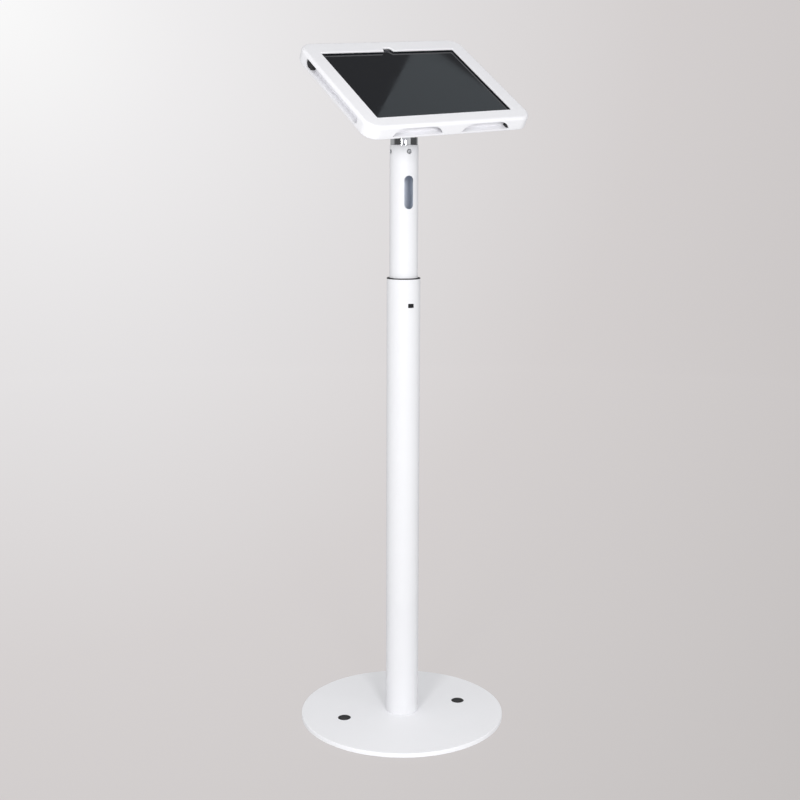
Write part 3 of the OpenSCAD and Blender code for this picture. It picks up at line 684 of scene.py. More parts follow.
def make_lower_tube():
    """The column's lower tube with its window, its lock hole and its cable exit."""
    inner_r = lower_r - LOWER_WALL
    exit_from = upper_r - 3 * MM
    tube = turned("column_tube", sleeve(lower_r, inner_r, lower_low.z, lower_high.z, TUBE_LIP), COLUMN_SIDES)
    window = start_block("window", (-WINDOW_W / 2, -lower_r - OVERSHOOT, WINDOW_Z - WINDOW_H / 2),
                         (WINDOW_W / 2, -upper_r, WINDOW_Z + WINDOW_H / 2))
    round_edges(window, along(Y), WINDOW_R, SOFT_STEPS)
    settle(window, turn_by(WINDOW_TURN, "Z"))
    lock_hole = start_drum("bore", LOCK_R + FREE_GAP, upper_r, lower_r + OVERSHOOT, BORE_SIDES, AT_LOCK)
    cable_exit = start_drum("bore", EXIT_R, exit_from, lower_r + OVERSHOOT, RING_SIDES, AT_EXIT)
    cut(tube, window, lock_hole, cable_exit)
    ease(tube, TUBE_EASE)
    smooth(tube)
    # The tube wears the darker copy of the powder coat, which paints shade onto the column.
    paint = shaded_tube_powder("column_coat_painted_shade", inner_r)
    fit(tube, "base_column", "white_powder", "lower_tube", finish=paint)


def make_guide_bush():
    """The bush in the column's top, with a rounded collar and its snap tab in the window."""
    low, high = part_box("guide_bush")
    outer = lower_r - LOWER_WALL - RUN_FIT
    inner = upper_r + RUN_FIT
    collar_r = lower_r - RUN_FIT
    collar_z = lower_high.z + SEAT_GAP
    lip = 0.6 * MM
    tab_r = 1.2 * MM
    tab_drop = 0.6 * MM
    outline = [(inner, low.z), (outer, low.z), (outer, collar_z), (collar_r, collar_z)]
    outline += bend(collar_r - lip, high.z - lip, lip, 0, 90, SOFT_STEPS)
    outline += bend(inner + lip, high.z - lip, lip, 90, 180, SOFT_STEPS)
    outline += [(inner, low.z)]
    bush = turned("guide_collar_bush", outline, COLUMN_SIDES)
    tab = start_block("tab", (FREE_GAP - WINDOW_W / 2, -lower_r, WINDOW_Z + FREE_GAP - WINDOW_H / 2),
                      (WINDOW_W / 2 - FREE_GAP, -outer + OVERSHOOT, WINDOW_Z + WINDOW_H / 2 - FREE_GAP))
    round_edges(tab, along(Y), tab_r, SOFT_STEPS)
    settle(tab, turn_by(WINDOW_TURN, "Z"))
    combine(tab, "INTERSECT", start_drum("trim", lower_r - tab_drop, low.z, high.z, COLUMN_SIDES))
    weld(bush, tab)
    cut(bush, start_drum("bore", LOCK_R + FREE_GAP, upper_r - OVERSHOOT, lower_r, BORE_SIDES, AT_LOCK))
    ease(bush, 0.25 * MM)
    smooth(bush)
    fit(bush, "base_column", "black_plastic", "guide_bush")


def make_exit_grommet():
    """A rubber grommet that hugs the tube, with a round lip."""
    lip_r = EXIT_R + 3 * MM
    bore = EXIT_R - 2.5 * MM
    face = lower_r + 2.5 * MM
    inside = lower_r - LOWER_WALL - 2.5 * MM
    soft = 1.1 * MM
    barrel_lip = 0.4 * MM
    outline = [(bore, SADDLE), (lip_r, SADDLE)]
    outline += bend(lip_r - soft, face - soft, soft, 0, 90, SOFT_STEPS)
    outline += bend(bore + soft, face - soft, soft, 90, 180, SOFT_STEPS)
    outline += [(bore, SADDLE)]
    grommet = settle(turned("exit_grommet_soft", outline, RING_SIDES), AT_EXIT)
    cut(grommet, start_drum("trim", lower_r + RUN_FIT, 0, 2 * EXIT_Z, COLUMN_SIDES))
    barrel = sleeve(EXIT_R - RUN_FIT, bore, inside, lower_r + OVERSHOOT, barrel_lip)
    weld(grommet, settle(turned("barrel", barrel, RING_SIDES), AT_EXIT))
    smooth(grommet)
    fit(grommet, "base_column", "black_rubber", "exit_grommet")


def grub_screw(name, radius, length, pitch):
    """A screw without a head: a coned tip, a thread and a hexagon socket in its end."""
    depth = 0.18 * radius
    core_r = radius - depth
    tip = 0.35 * radius
    tip_r = 0.6 * radius
    end_edge = 0.2 * tip
    end_r = radius - 1.4 * depth
    outline = [(0, 0), (tip_r, 0), (core_r, tip)]
    outline += thread(radius, tip, length - tip, pitch, depth)
    outline += [(core_r, length - end_edge), (end_r, length), (0, length)]
    screw = turned(name, outline, BORE_SIDES)
    cut(screw, start_drum("socket", radius * SOCKET_SHARE, length - radius, length + OVERSHOOT, HEX_SIDES))
    return smooth(screw, THREAD_ANGLE, weighted=False)


def make_height_lock():
    """The boss on the back of the column and the screw in it."""
    low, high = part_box("lock_boss")
    screw_low, screw_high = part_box("lock_screw")
    boss_r = (high.x - low.x) / 2
    face = high.y
    bore = LOCK_R + RUN_FIT
    edge = 1.2 * MM
    chamfer = 0.6 * MM
    outline = [(bore, SADDLE), (boss_r, SADDLE)]
    outline += bend(boss_r - edge, face - edge, edge, 0, 90, SOFT_STEPS)
    outline += [(bore + chamfer, face), (bore, face - chamfer), (bore, SADDLE)]
    boss = settle(turned("height_lock_boss", outline, RING_SIDES), AT_LOCK)
    cut(boss, start_drum("trim", lower_r + RUN_FIT, low.z - OVERSHOOT, high.z + OVERSHOOT, COLUMN_SIDES))
    smooth(boss, TURNED_ANGLE)
    fit(boss, "base_column", "white_powder", "lock_boss")
    screw = grub_screw("height_lock_screw", LOCK_R, screw_high.y - screw_low.y, GRUB_PITCH)
    settle(screw, AT_LOCK @ shift(z=screw_low.y))
    fit(screw, "base_column", "black_steel", "lock_screw")


def make_upper_tube():
    """The column's upper tube with its round-ended cable slot and four screw holes."""
    inner_r = upper_r - UPPER_WALL
    reach = upper_r + OVERSHOOT
    tube = turned("mast_tube", sleeve(upper_r, inner_r, upper_low.z, upper_high.z, TUBE_LIP), COLUMN_SIDES)
    slot = start_block("slot", (-SLOT_HALF_W, -reach, SLOT_Z - SLOT_HALF_LEN),
                       (SLOT_HALF_W, -upper_r / 2, SLOT_Z + SLOT_HALF_LEN))
    cut(tube, round_edges(slot, along(Y), SLOT_HALF_W * HALF_ROUND, END_STEPS))
    for axis in ("X", "Y"):
        place = shift(z=SET_SCREW_Z) @ turn_by(QUARTER, axis)
        cut(tube, start_drum("bore", SET_SCREW_R + FREE_GAP, -reach, reach, BORE_SIDES, place))
    ease(tube, TUBE_EASE)
    smooth(tube)
    # The tube wears the darker copy of the powder coat, which paints shade onto the column.
    paint = shaded_tube_powder("mast_coat_painted_shade", inner_r)
    fit(tube, "mast", "white_powder", "upper_tube", finish=paint)


def make_set_screws():
    """Four screws through the upper tube that guide the neck."""
    tip = 17.3 * MM
    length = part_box("neck_set_screws")[1].x - tip
    screw = grub_screw("neck_set_screw_1", SET_SCREW_R, length, GRUB_PITCH)
    for quarter, piece in enumerate(copies_of(screw, "neck_set_screw", 4)):
        settle(piece, shift(z=SET_SCREW_Z) @ turn_by(quarter * QUARTER, "Z") @ TO_FRONT @ shift(z=tip))
        fit(piece, "mast", "steel", "neck_set_screws")


# Neck, hinge and turntable

HINGE_BOLT_R = 5 * MM
HINGE_BORE_R = HINGE_BOLT_R + RUN_FIT
HINGE_REACH = 30 * MM
HUB_BOLT_R = 6 * MM
HUB_BORE_R = HUB_BOLT_R + RUN_FIT
EAR_HALF_W = 13 * MM
EAR_STEPS = 16
TONGUE_HALF_W = 12 * MM
WASHER_LIP = 0.25 * MM
HEX_TURN = math.radians(30)
HEX_CROWN = 0.97
TRIM_SPARE = 0.01 * MM


def hinge_bore():
    """A bar along the hinge that cuts its bore."""
    return start_drum("bore", HINGE_BORE_R, -HINGE_REACH, HINGE_REACH, RING_SIDES, ACROSS)


def make_neck():
    """The bright neck: a turned flange with soft edges, a spigot with its groove, and a tongue."""
    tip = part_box("swivel_neck")[0].z
    flange_r = 24.25 * MM
    spigot_r = 19 * MM
    groove_r = 17 * MM
    groove_half = 4.3 * MM
    groove_low = SET_SCREW_Z - groove_half
    groove_high = SET_SCREW_Z + groove_half
    flange_low = upper_high.z + 0.1 * MM
    flange_high = flange_low + 14 * MM
    tip_edge = 1 * MM
    under_edge = 0.5 * MM
    top_edge = 1.2 * MM
    top_steps = 6
    outline = [(0, tip), (spigot_r - tip_edge, tip), (spigot_r, tip + tip_edge),
               (spigot_r, groove_low), (groove_r, groove_low), (groove_r, groove_high),
               (spigot_r, groove_high), (spigot_r, flange_low)]
    outline += bend(flange_r - under_edge, flange_low + under_edge, under_edge, 270, 360)
    outline += bend(flange_r - top_edge, flange_high - top_edge, top_edge, 0, 90, top_steps)
    outline += [(0, flange_high)]
    neck = turned("bright_swivel_neck", outline, COLUMN_SIDES)
    root = flange_high - hinge_point.z - OVERSHOOT
    tongue = start_block("tongue", (-TONGUE_HALF_W, -EAR_HALF_W, root),
                         (TONGUE_HALF_W, EAR_HALF_W, EAR_HALF_W))
    round_edges(tongue, along(X, lambda middle: middle.z > 0), EAR_HALF_W * HALF_ROUND, EAR_STEPS)
    cut(tongue, hinge_bore())
    ease(tongue, 0.4 * MM)
    weld(neck, settle(tongue, AT_NECK))
    smooth(neck)
    fit(neck, "neck", "chrome", "swivel_neck")


def make_bracket():
    """The tilt bracket: a round flange and two ears, with soft edges."""
    high = box_in("tilt_bracket", AT_BRACKET)[1]
    back = high.z - 5 * MM
    edge = 0.8 * MM
    ear_in = 13.6 * MM
    ear_out = 18.6 * MM
    outline = [(HUB_BORE_R, back)]
    outline += bend(high.x - edge, back + edge, edge, 270, 360)
    outline += bend(high.x - edge, high.z - edge, edge, 0, 90)
    outline += [(HUB_BORE_R, high.z), (HUB_BORE_R, back)]
    bracket = turned("tilt_bracket_flange", outline, COLUMN_SIDES)
    for side in BOTH_SIDES:
        inner, outer = sorted((side * ear_in, side * ear_out))
        ear = start_block("ear", (inner, -EAR_HALF_W, -EAR_HALF_W), (outer, EAR_HALF_W, back + OVERSHOOT))
        round_edges(ear, along(X, lambda middle: middle.z < 0), EAR_HALF_W * HALF_ROUND, EAR_STEPS)
        weld(bracket, ear)
    cut(bracket, hinge_bore())
    ease(bracket, 0.5 * MM)
    smooth(settle(bracket, AT_BRACKET))
    fit(bracket, "tilt_head", "black_steel", "tilt_bracket")


def hexagon(name, across, low, high, crown_high=True):
    """A hexagon along Z whose corners are turned off at its low end, and at its high end if asked."""
    corner_r = across / 2
    face_r = corner_r * math.cos(HEX_TURN) * HEX_CROWN
    drop = (corner_r - face_r) * math.tan(HEX_TURN)
    reach_r = corner_r + TRIM_SPARE
    tip_r = face_r - OVERSHOOT * (reach_r - face_r) / drop
    outline = [(0, low - OVERSHOOT), (tip_r, low - OVERSHOOT), (reach_r, low + drop)]
    outline += [(reach_r, high - drop)] if crown_high else []
    outline += [(tip_r if crown_high else reach_r, high + OVERSHOOT), (0, high + OVERSHOOT)]
    bar = start_drum(name, corner_r, low, high, HEX_SIDES)
    return combine(bar, "INTERSECT", turned("trim", outline, ROUND_SIDES))


def make_nut(name, node, across, low, high, bore, place):
    """A hexagon nut with both faces turned, on the bolt that its bore fits."""
    nut = hexagon(name, across, low, high)
    cut(nut, start_drum("bore", bore, low - OVERSHOOT, high + OVERSHOOT, RING_SIDES))
    ease(nut, 0.25 * MM, steps=1, angle=60)
    smooth(settle(nut, place), THREAD_ANGLE)
    fit(nut, "tilt_head", "steel", node)


def make_pivot_bolt():
    """The hinge's bolt, whose shank ends in a thread with a chamfered tip, and its nut."""
    low, high = box_in("pivot_bolt", AT_BRACKET)
    nut_low, nut_high = box_in("pivot_nut", AT_BRACKET)
    across = max(high.y - low.y, high.z - low.z)
    head_high = low.x + 6.4 * MM
    shank_low = low.x + 3.2 * MM
    thread_low = nut_low.x - 4 * MM
    pitch = 1.5 * MM
    depth = 0.65 * MM
    bolt = hexagon("hinge_bolt", across, low.x, head_high, crown_high=False)
    outline = [(0, shank_low), (HINGE_BOLT_R, shank_low), (HINGE_BOLT_R, thread_low)]
    outline += thread(HINGE_BOLT_R, thread_low, high.x - depth, pitch, depth)
    outline += [(HINGE_BOLT_R - TIP_LOSS * depth, high.x), (0, high.x)]
    weld(bolt, turned("shank", outline, RING_SIDES))
    smooth(settle(bolt, ALONG_HINGE), THREAD_ANGLE)
    fit(bolt, "tilt_head", "steel", "pivot_bolt")
    make_nut("hinge_nut", "pivot_nut", across, nut_low.x, nut_high.x, HINGE_BORE_R, ALONG_HINGE)


def make_washer(name, node, slot, outer, bore, low, high, place):
    """A flat ring with its edges taken off."""
    ring = turned(name, sleeve(outer, bore, low, high, WASHER_LIP), RING_SIDES)
    settle(smooth(ring, TURNED_ANGLE), place)
    fit(ring, "tilt_head", slot, node)


def make_washers():
    """The rings of the hinge, two of each kind, and those of the turntable."""
    for node, name, thick, slot in (
        ("pivot_washers", "hinge_washer", 2 * MM, "steel"),
        ("slip_washers", "slip_washer", 1.5 * MM, "nylon"),
    ):
        low, high = box_in(node, AT_BRACKET)
        for number, at in ((1, low.x), (2, high.x - thick)):
            make_washer(f"{name}_{number}", node, slot, high.y, HINGE_BORE_R, at, at + thick, ALONG_HINGE)
    for node, name, slot in (
        ("slip_disc", "turntable_slip_disc", "nylon"),
        ("hub_washer", "turntable_washer", "steel"),
    ):
        low, high = box_in(node, AT_BRACKET)
        make_washer(name, node, slot, high.x, HUB_BORE_R, low.z, high.z, AT_BRACKET)


def make_hub():
    """The turntable's bolt, with a round head and a hexagon socket, and its nut."""
    low, high = box_in("hub_bolt", AT_BRACKET)
    nut_low, nut_high = box_in("hub_nut", AT_BRACKET)
    across = max(nut_high.x - nut_low.x, nut_high.y - nut_low.y)
    head_r = high.x
    head_low = high.z - 5 * MM
    edge = 1 * MM
    depth = 0.8 * MM
    pitch = 1.75 * MM
    thread_high = nut_high.z + 0.5 * MM
    shank_low = nut_high.z + 1.2 * MM
    socket_low = high.z - 2.5 * MM
    outline = [(0, low.z), (HUB_BOLT_R - TIP_LOSS * depth, low.z)]
    outline += thread(HUB_BOLT_R, low.z + depth, thread_high, pitch, depth)
    outline += [(HUB_BOLT_R, shank_low), (HUB_BOLT_R, head_low), (head_r, head_low)]
    outline += bend(head_r - edge, high.z - edge, edge, 0, 90)
    outline += [(0, high.z)]
    bolt = turned("turntable_hub_bolt", outline, ROUND_SIDES)
    cut(bolt, start_drum("socket", HUB_BOLT_R * SOCKET_SHARE, socket_low, high.z + OVERSHOOT, HEX_SIDES))
    smooth(settle(bolt, AT_BRACKET), THREAD_ANGLE)
    fit(bolt, "tilt_head", "steel", "hub_bolt")
    make_nut("turntable_hub_nut", "hub_nut", across, nut_low.z, nut_high.z, HUB_BORE_R, AT_BRACKET)


def make_stop_pin():
    """The pin that ends the head's turn both ways."""
    low, high = box_in("stop_pin", AT_BRACKET)
    pin_r = (high.x - low.x) / 2
    edge = 0.5 * MM
    outline = [(0, low.z), (pin_r - edge, low.z), (pin_r, low.z + edge), (pin_r, high.z - edge),
               (pin_r - edge, high.z), (0, high.z)]
    pin = smooth(turned("turn_stop_pin", outline, BORE_SIDES), THREAD_ANGLE, weighted=False)
    settle(pin, AT_BRACKET @ shift(low.x + pin_r, low.y + pin_r))
    fit(pin, "tilt_head", "steel", "stop_pin")


# Enclosure

cover_low, cover_high = box_in("front_cover", AT_CASE)
plate_low, plate_high = box_in("back_plate", AT_CASE)
glass_low, glass_high = box_in("tablet_glass", AT_CASE)
shell_low, shell_high = box_in("tablet_shell", AT_CASE)
CASE_R = 25 * MM
CASE_STEPS = 20
CASE_EDGE = 6 * MM
COVER_WALL = 3 * MM
OPENING_DROP = 2 * MM
OPENING_HALF_W = shell_high.x - 6.7 * MM
OPENING_HALF_H = (shell_high.y - shell_low.y) / 2 - 9.7 * MM
OPENING_TOP = -OPENING_DROP + OPENING_HALF_H
CHAMFER = 1.2 * MM
CHAMFER_REACH = 12 * MM
BOSS_R = 4.5 * MM
BOSS_BORE = 1.8 * MM
BOSS_BORE_DEPTH = 12 * MM
BOSS_STEP = 7.071 * MM
boss_x = cover_high.x - CASE_R + BOSS_STEP
boss_y = cover_high.y - CASE_R + BOSS_STEP
boss_mid = cover_high.y - COVER_WALL - BOSS_R + MM
BOSSES = [(0, boss_mid), (0, -boss_mid),
          (boss_x, boss_y), (-boss_x, boss_y), (-boss_x, -boss_y), (boss_x, -boss_y)]
PLATE_SCREW_STEP = 50 * MM
PLATE_SCREWS = [(x * PLATE_SCREW_STEP, y * PLATE_SCREW_STEP) for x in BOTH_SIDES for y in BOTH_SIDES]
CUT_X = 69.5 * MM
CUT_HALF_BASE = 51 * MM
CUT_HALF_TOP = 40 * MM
CUT_H = 15 * MM
CUT_R = 26 * MM
CUT_STEPS = 12
SIDE_HALF = 91.5 * MM
SIDE_R = 6 * MM
SIDE_LIP = 1.1 * MM
NOTCH_HALF_BASE = 10.5 * MM
NOTCH_HALF_TOP = 7.5 * MM
NOTCH_DEPTH = 9.5 * MM
NOTCH_R = 4 * MM
EDGE_STEPS = 8
FACING = 0.9
STEEP = 0.5


def wedge(name, half_base, half_top, height, radius, reach):
    """A bar along Y that stands at Z = 0, whose sides lean in towards its round upper corners."""
    lean = math.atan2(half_base - half_top, height)
    inset = radius * math.tan((QUARTER - lean) / 2)
    half_low = half_base + OVERSHOOT * math.tan(lean)
    bar = start_block(name, (-half_low, -reach, -OVERSHOOT), (half_low, reach, height))
    pick_faces(bar, lambda normal: normal.z > FACING)
    bpy.ops.transform.resize(value=(half_top / half_low, 1, 1), center_override=(0, 0, 0))
    close_mesh()
    return round_edges(bar, along(Y, lambda middle: middle.z > height / 2), inset, CUT_STEPS)


def on_opening_rim(middle, direction, faces):
    """True for the edges round the screen opening and its notch, on the cover's face."""
    on_face = at_level(cover_high.z)(middle, direction, faces)
    steep = min(face.normal.z for face in faces) < STEEP
    return (on_face and steep and abs(middle.x) < OPENING_HALF_W + MM
            and abs(middle.y) < OPENING_TOP + CHAMFER_REACH)


def make_cover():
    """The front cover: a rounded shell with the screen opening, the camera notch and its side cut-outs."""
    cover = start_block("front_frame_cover", cover_low, cover_high)
    round_edges(cover, along(Z), CASE_R, CASE_STEPS)
    round_edges(cover, at_level(cover_high.z), CASE_EDGE, EDGE_STEPS)
    pick_faces(cover, lambda normal: normal.z < -FACING)
    bpy.ops.mesh.delete(type="FACE")
    close_mesh()
    bpy.ops.object.modifier_add(type="SOLIDIFY")
    wall = cover.modifiers[-1]
    wall.thickness = COVER_WALL
    wall.offset = -1
    wall.use_even_offset = True
    bpy.ops.object.modifier_apply(modifier=wall.name)
    opening_low = -OPENING_DROP - OPENING_HALF_H
    opening = start_block("opening", (-OPENING_HALF_W, opening_low, cover_high.z - COVER_WALL - OVERSHOOT),
                          (OPENING_HALF_W, OPENING_TOP, cover_high.z + OVERSHOOT))
    notch = wedge("notch", NOTCH_HALF_BASE, NOTCH_HALF_TOP, NOTCH_DEPTH, NOTCH_R, COVER_WALL + OVERSHOOT)
    settle(notch, shift(0, OPENING_TOP, cover_high.z) @ TO_BACK)
    cut(cover, weld(opening, notch))
    round_edges(cover, on_opening_rim, CHAMFER, 1)
    boss_top = cover_high.z - COVER_WALL / 2
    for x, y in BOSSES:
        weld(cover, start_drum("boss", BOSS_R, cover_low.z, boss_top, SCREW_SIDES, shift(x, y)))
    for side in BOTH_SIDES:
        opening = wedge("cut_out", CUT_HALF_BASE, CUT_HALF_TOP, CUT_H, CUT_R, cover_high.y + OVERSHOOT)
        cut(cover, settle(opening, shift(side * CUT_X, 0, cover_low.z)))
    slot_end = cover_high.x + OVERSHOOT
    slots = start_block("slots", (-slot_end, -SIDE_HALF, cover_low.z + SIDE_LIP),
                        (slot_end, SIDE_HALF, cover_low.z + CUT_H))
    cut(cover, round_edges(slots, along(X), SIDE_R, EDGE_STEPS))
    bore_low, bore_high = cover_low.z - OVERSHOOT, cover_low.z + BOSS_BORE_DEPTH
    for x, y in BOSSES:
        cut(cover, start_drum("bore", BOSS_BORE, bore_low, bore_high, PILOT_SIDES, shift(x, y)))
    ease(cover, 0.35 * MM)
    smooth(settle(cover, AT_CASE))
    fit(cover, "enclosure", "white_plastic", "front_cover")


def make_back_plate():
    """The back plate: a tray with a rounded rear edge, holes and low inner walls."""
    face = plate_low.z + 4.3 * MM
    corner_r = CASE_R - 0.5 * MM
    rear_edge = 2 * MM
    wall_x = cover_high.x - 14 * MM
    wall_y = cover_high.y - 14 * MM
    wall_t = 2 * MM
    wall_low = face - OVERSHOOT
    side_low, side_high = -90 * MM, 75 * MM
    long_from, long_to = 6.5 * MM, 115 * MM
    hub_r = 15 * MM
    screw_r = 2.05 * MM
    sink_r = 3.625 * MM
    sink_top = plate_low.z + 2.33 * MM
    cable_half_w, cable_r = 18 * MM, 9 * MM
    cable_low, cable_high = -93 * MM, -75 * MM
    plate = start_block("tray_back_plate", plate_low, (plate_high.x, plate_high.y, face))
    round_edges(plate, along(Z), corner_r, CASE_STEPS)
    round_edges(plate, at_level(plate_low.z), rear_edge, SOFT_STEPS)
    for side in BOTH_SIDES:
        x_low, x_high = sorted((side * wall_x, side * (wall_x + wall_t)))
        weld(plate, start_block("wall", (x_low, side_low, wall_low), (x_high, side_high, plate_high.z)))
        y_low, y_high = sorted((side * wall_y, side * (wall_y + wall_t)))
        for end in BOTH_SIDES:
            x_low, x_high = sorted((end * long_from, end * long_to))
            weld(plate, start_block("wall", (x_low, y_low, wall_low), (x_high, y_high, plate_high.z)))
    low, high = plate_low.z - OVERSHOOT, face + OVERSHOOT
    cut(plate, start_drum("bore", hub_r, low, high, ROUND_SIDES))
    for x, y in BOSSES:
        cut(plate, start_drum("bore", screw_r, low, high, PILOT_SIDES, shift(x, y)))
        cut(plate, start_drum("bore", sink_r, low, sink_top, SCREW_SIDES, shift(x, y)))
    for x, y in PLATE_SCREWS:
        cut(plate, start_drum("bore", screw_r, low, high, PILOT_SIDES, shift(x, y)))
    hole = start_block("hole", (-cable_half_w, cable_low, low), (cable_half_w, cable_high, high))
    cut(plate, round_edges(hole, along(Z), cable_r * HALF_ROUND, END_STEPS))
    ease(plate, 0.3 * MM)
    smooth(settle(plate, AT_CASE))
    fit(plate, "enclosure", "white_plastic", "back_plate")


def pan_screw(name, radius, head_r, head_t, length):
    """A pan-head screw along Z with a cross recess; its head stands above the origin."""
    pitch = 0.9 * MM
    depth = 0.28 * radius
    tip_r = 0.5 * radius
    thread_high = -0.3 * MM
    shank_low = -0.2 * MM
    rim = 0.35
    dome_turns = 15, 30, 45, 60, 75
    arm = 0.62 * head_r
    arm_half_w = 0.13 * head_r
    recess_low = 0.4 * head_t
    outline = [(0, -length), (tip_r, -length)]
    outline += thread(radius, -length + radius, thread_high, pitch, depth)
    outline += [(radius, shank_low), (radius, 0), (head_r, 0), (head_r, rim * head_t)]
    outline += [(head_r * math.cos(turn), head_t * (rim + (1 - rim) * math.sin(turn)))
                for turn in map(math.radians, dome_turns)]
    outline += [(0, head_t)]
    screw = turned(name, outline, SCREW_SIDES)
    for turn in (0, QUARTER):
        recess = start_block("recess", (-arm, -arm_half_w, recess_low), (arm, arm_half_w, head_t + OVERSHOOT))
        cut(screw, settle(recess, turn_by(turn, "Z")))
    return smooth(screw, 35, weighted=False)


def spread_screws(node, name, slot, radius, head_r, head_t, places):
    """One pan-head screw and its copies at all its places, heads to the rear."""
    low, high = box_in(node, AT_CASE)
    screw = pan_screw(f"{name}_1", radius, head_r, head_t, high.z - low.z - head_t)
    for piece, (x, y) in zip(copies_of(screw, name, len(places)), places):
        settle(piece, AT_CASE @ shift(x, y, low.z + head_t) @ BACKWARDS)
        fit(piece, "enclosure", slot, node)


def make_screws():
    """The screws of the mounting plate and those of the cover."""
    plate_head_r = box_in("plate_screws", AT_CASE)[1].x - PLATE_SCREW_STEP
    spread_screws("plate_screws", "plate_screw", "steel", 2 * MM, plate_head_r, 2.32 * MM, PLATE_SCREWS)
    spread_screws("cover_screws", "cover_screw", "black_steel", 1.7 * MM, 3.325 * MM, 2.03 * MM, BOSSES)


def make_tablet():
    """A plain tablet: its shell, its cover glass and the lens in the glass."""
    shell = start_block("tablet_case_shell", shell_low, shell_high)
    round_edges(shell, along(Z), 14 * MM, END_STEPS)
    round_edges(shell, at_level(shell_low.z), 1.5 * MM, SOFT_STEPS)
    smooth(settle(shell, AT_CASE), TURNED_ANGLE)
    fit(shell, "enclosure", "tablet_metal", "tablet_shell")
    glass = start_block("tablet_cover_glass", glass_low, glass_high)
    round_edges(glass, along(Z), 13 * MM, END_STEPS)
    round_edges(glass, at_level(glass_high.z), 0.45 * MM, BEND_STEPS)
    lens_low, lens_high = box_in("camera_lens", AT_CASE)
    lens_r = (lens_high.x - lens_low.x) / 2
    lens_at = shift(y=(lens_low.y + lens_high.y) / 2)
    bore_low, bore_high = glass_low.z - OVERSHOOT, glass_high.z + OVERSHOOT
    cut(glass, start_drum("bore", lens_r + RUN_FIT, bore_low, bore_high, BORE_SIDES, lens_at))
    smooth(settle(glass, AT_CASE), TURNED_ANGLE)
    fit(glass, "enclosure", "screen_glass", "tablet_glass")
    top = lens_high.z
    edge = 0.2 * MM
    ring_r = lens_r - 0.7 * MM
    well_r = lens_r - 0.9 * MM
    well = top - 0.25 * MM
    dome = 0.18 * MM
    dome_shares = 0.75, 0.5, 0.25, 0
    outline = [(0, lens_low.z), (lens_r, lens_low.z), (lens_r, top - edge), (lens_r - edge, top),
               (ring_r, top), (well_r, well)]
    outline += [(share * well_r, well + dome * (1 - share ** 2)) for share in dome_shares]
    lens = smooth(turned("front_camera_lens", outline, BORE_SIDES), TURNED_ANGLE, weighted=False)
    settle(lens, AT_CASE @ lens_at)
    fit(lens, "enclosure", "lens_glass", "camera_lens")


def make_pads():
    """Foam pads behind the tablet, full at the sides and flat where they are pressed."""
    low, high = box_in("back_pads", AT_CASE)
    middle = (low + high) / 2
    half = 21 * MM
    face_half = half * 0.97
    corner_r = 6 * MM
    bulge = 1.03
    side_cuts = 3
    flat_share = 0.3
    flat = flat_share * (high.z - low.z)
    pad = start_block("foam_pad_1", (-face_half, -face_half, low.z), (face_half, face_half, high.z))
    round_edges(pad, along(Z), corner_r, BEND_STEPS)
    pick_faces(pad, lambda normal: abs(normal.z) < 1 - FACING)
    bpy.ops.mesh.subdivide(number_cuts=side_cuts)
    close_mesh()
    mesh = open_mesh(pad, "VERT")
    for vertex in mesh.verts:
        vertex.select_set(low.z + flat < vertex.co.z < high.z - flat)
    bmesh.update_edit_mesh(pad.data)
    bpy.ops.transform.resize(value=(bulge, bulge, 1), center_override=(0, 0, 0))
    close_mesh()
    ease(pad, 1.2 * MM, steps=3, angle=50)
    smooth(pad, 60)
    spot_x, spot_y = high.x - half, high.y - middle.y - half
    spots = [(x * spot_x, middle.y + y * spot_y) for x in BOTH_SIDES for y in BOTH_SIDES]
    for piece, (x, y) in zip(copies_of(pad, "foam_pad", len(spots)), spots):
        settle(piece, AT_CASE @ shift(x, y))
        fit(piece, "enclosure", "grey_foam", "back_pads")


def make_small_parts():
    """Moulded and cut parts that keep the CAD outline, with their edges taken off."""
    for node, name, width, slot in (
        ("mounting_plate", "turntable_mounting_plate", 0.4 * MM, "black_steel"),
        ("corner_blocks", "corner_rest_blocks", 0.6 * MM, "black_rubber"),
        ("cable_grommet", "case_cable_grommet", 0.6 * MM, "black_rubber"),
        ("screen_gasket", "screen_edge_gasket", 0.25 * MM, "black_rubber"),
    ):
        fit(eased_copy(node, name, width), "enclosure", slot, node)


make_base_plate()
make_anchor_plugs()
make_lower_tube()
make_guide_bush()
make_exit_grommet()
make_height_lock()
make_upper_tube()
make_set_screws()
make_neck()
make_bracket()
make_pivot_bolt()
make_washers()
make_hub()
make_stop_pin()
make_cover()
make_back_plate()
make_screws()
make_tablet()
make_pads()
make_small_parts()


# Studio

FLOOR_R = 6.0
CURVE_R = 1.6
WALL_H = 6.0
CURVE_STEPS = 16
ROOM_SIDES = 96
TONES_FROM = (-0.80, -2.11, 1.00)
BRIGHT_WAY = (0.0547, 0.9896, 0.1328)
PAPER_TONES = ((0.0, (0.91, 0.91, 0.91)), (0.15, (0.80, 0.788, 0.795)), (0.3, (0.71, 0.692, 0.697)),
               (0.5, (0.605, 0.575, 0.573)), (0.85, (0.485, 0.46, 0.455)))
PAPER_SHADE = 0.06
PAPER_ROUGH = 0.9
PAPER_FILL = 0.60
PAPER_GLEAM = 0.04
BACK_GLEAM = 0.38
BACK_LEAN = 0.5, 0.75
SKY_FILL = 0.60
SKY_GLEAM = 0.12
CARD_TONE = (0.88, 0.98, 1.04, 1)
WHITE = (1, 1, 1)
KEY_AIM = (0, 0, 0.4)
KEY_SIZE = (0.4, 0.4)


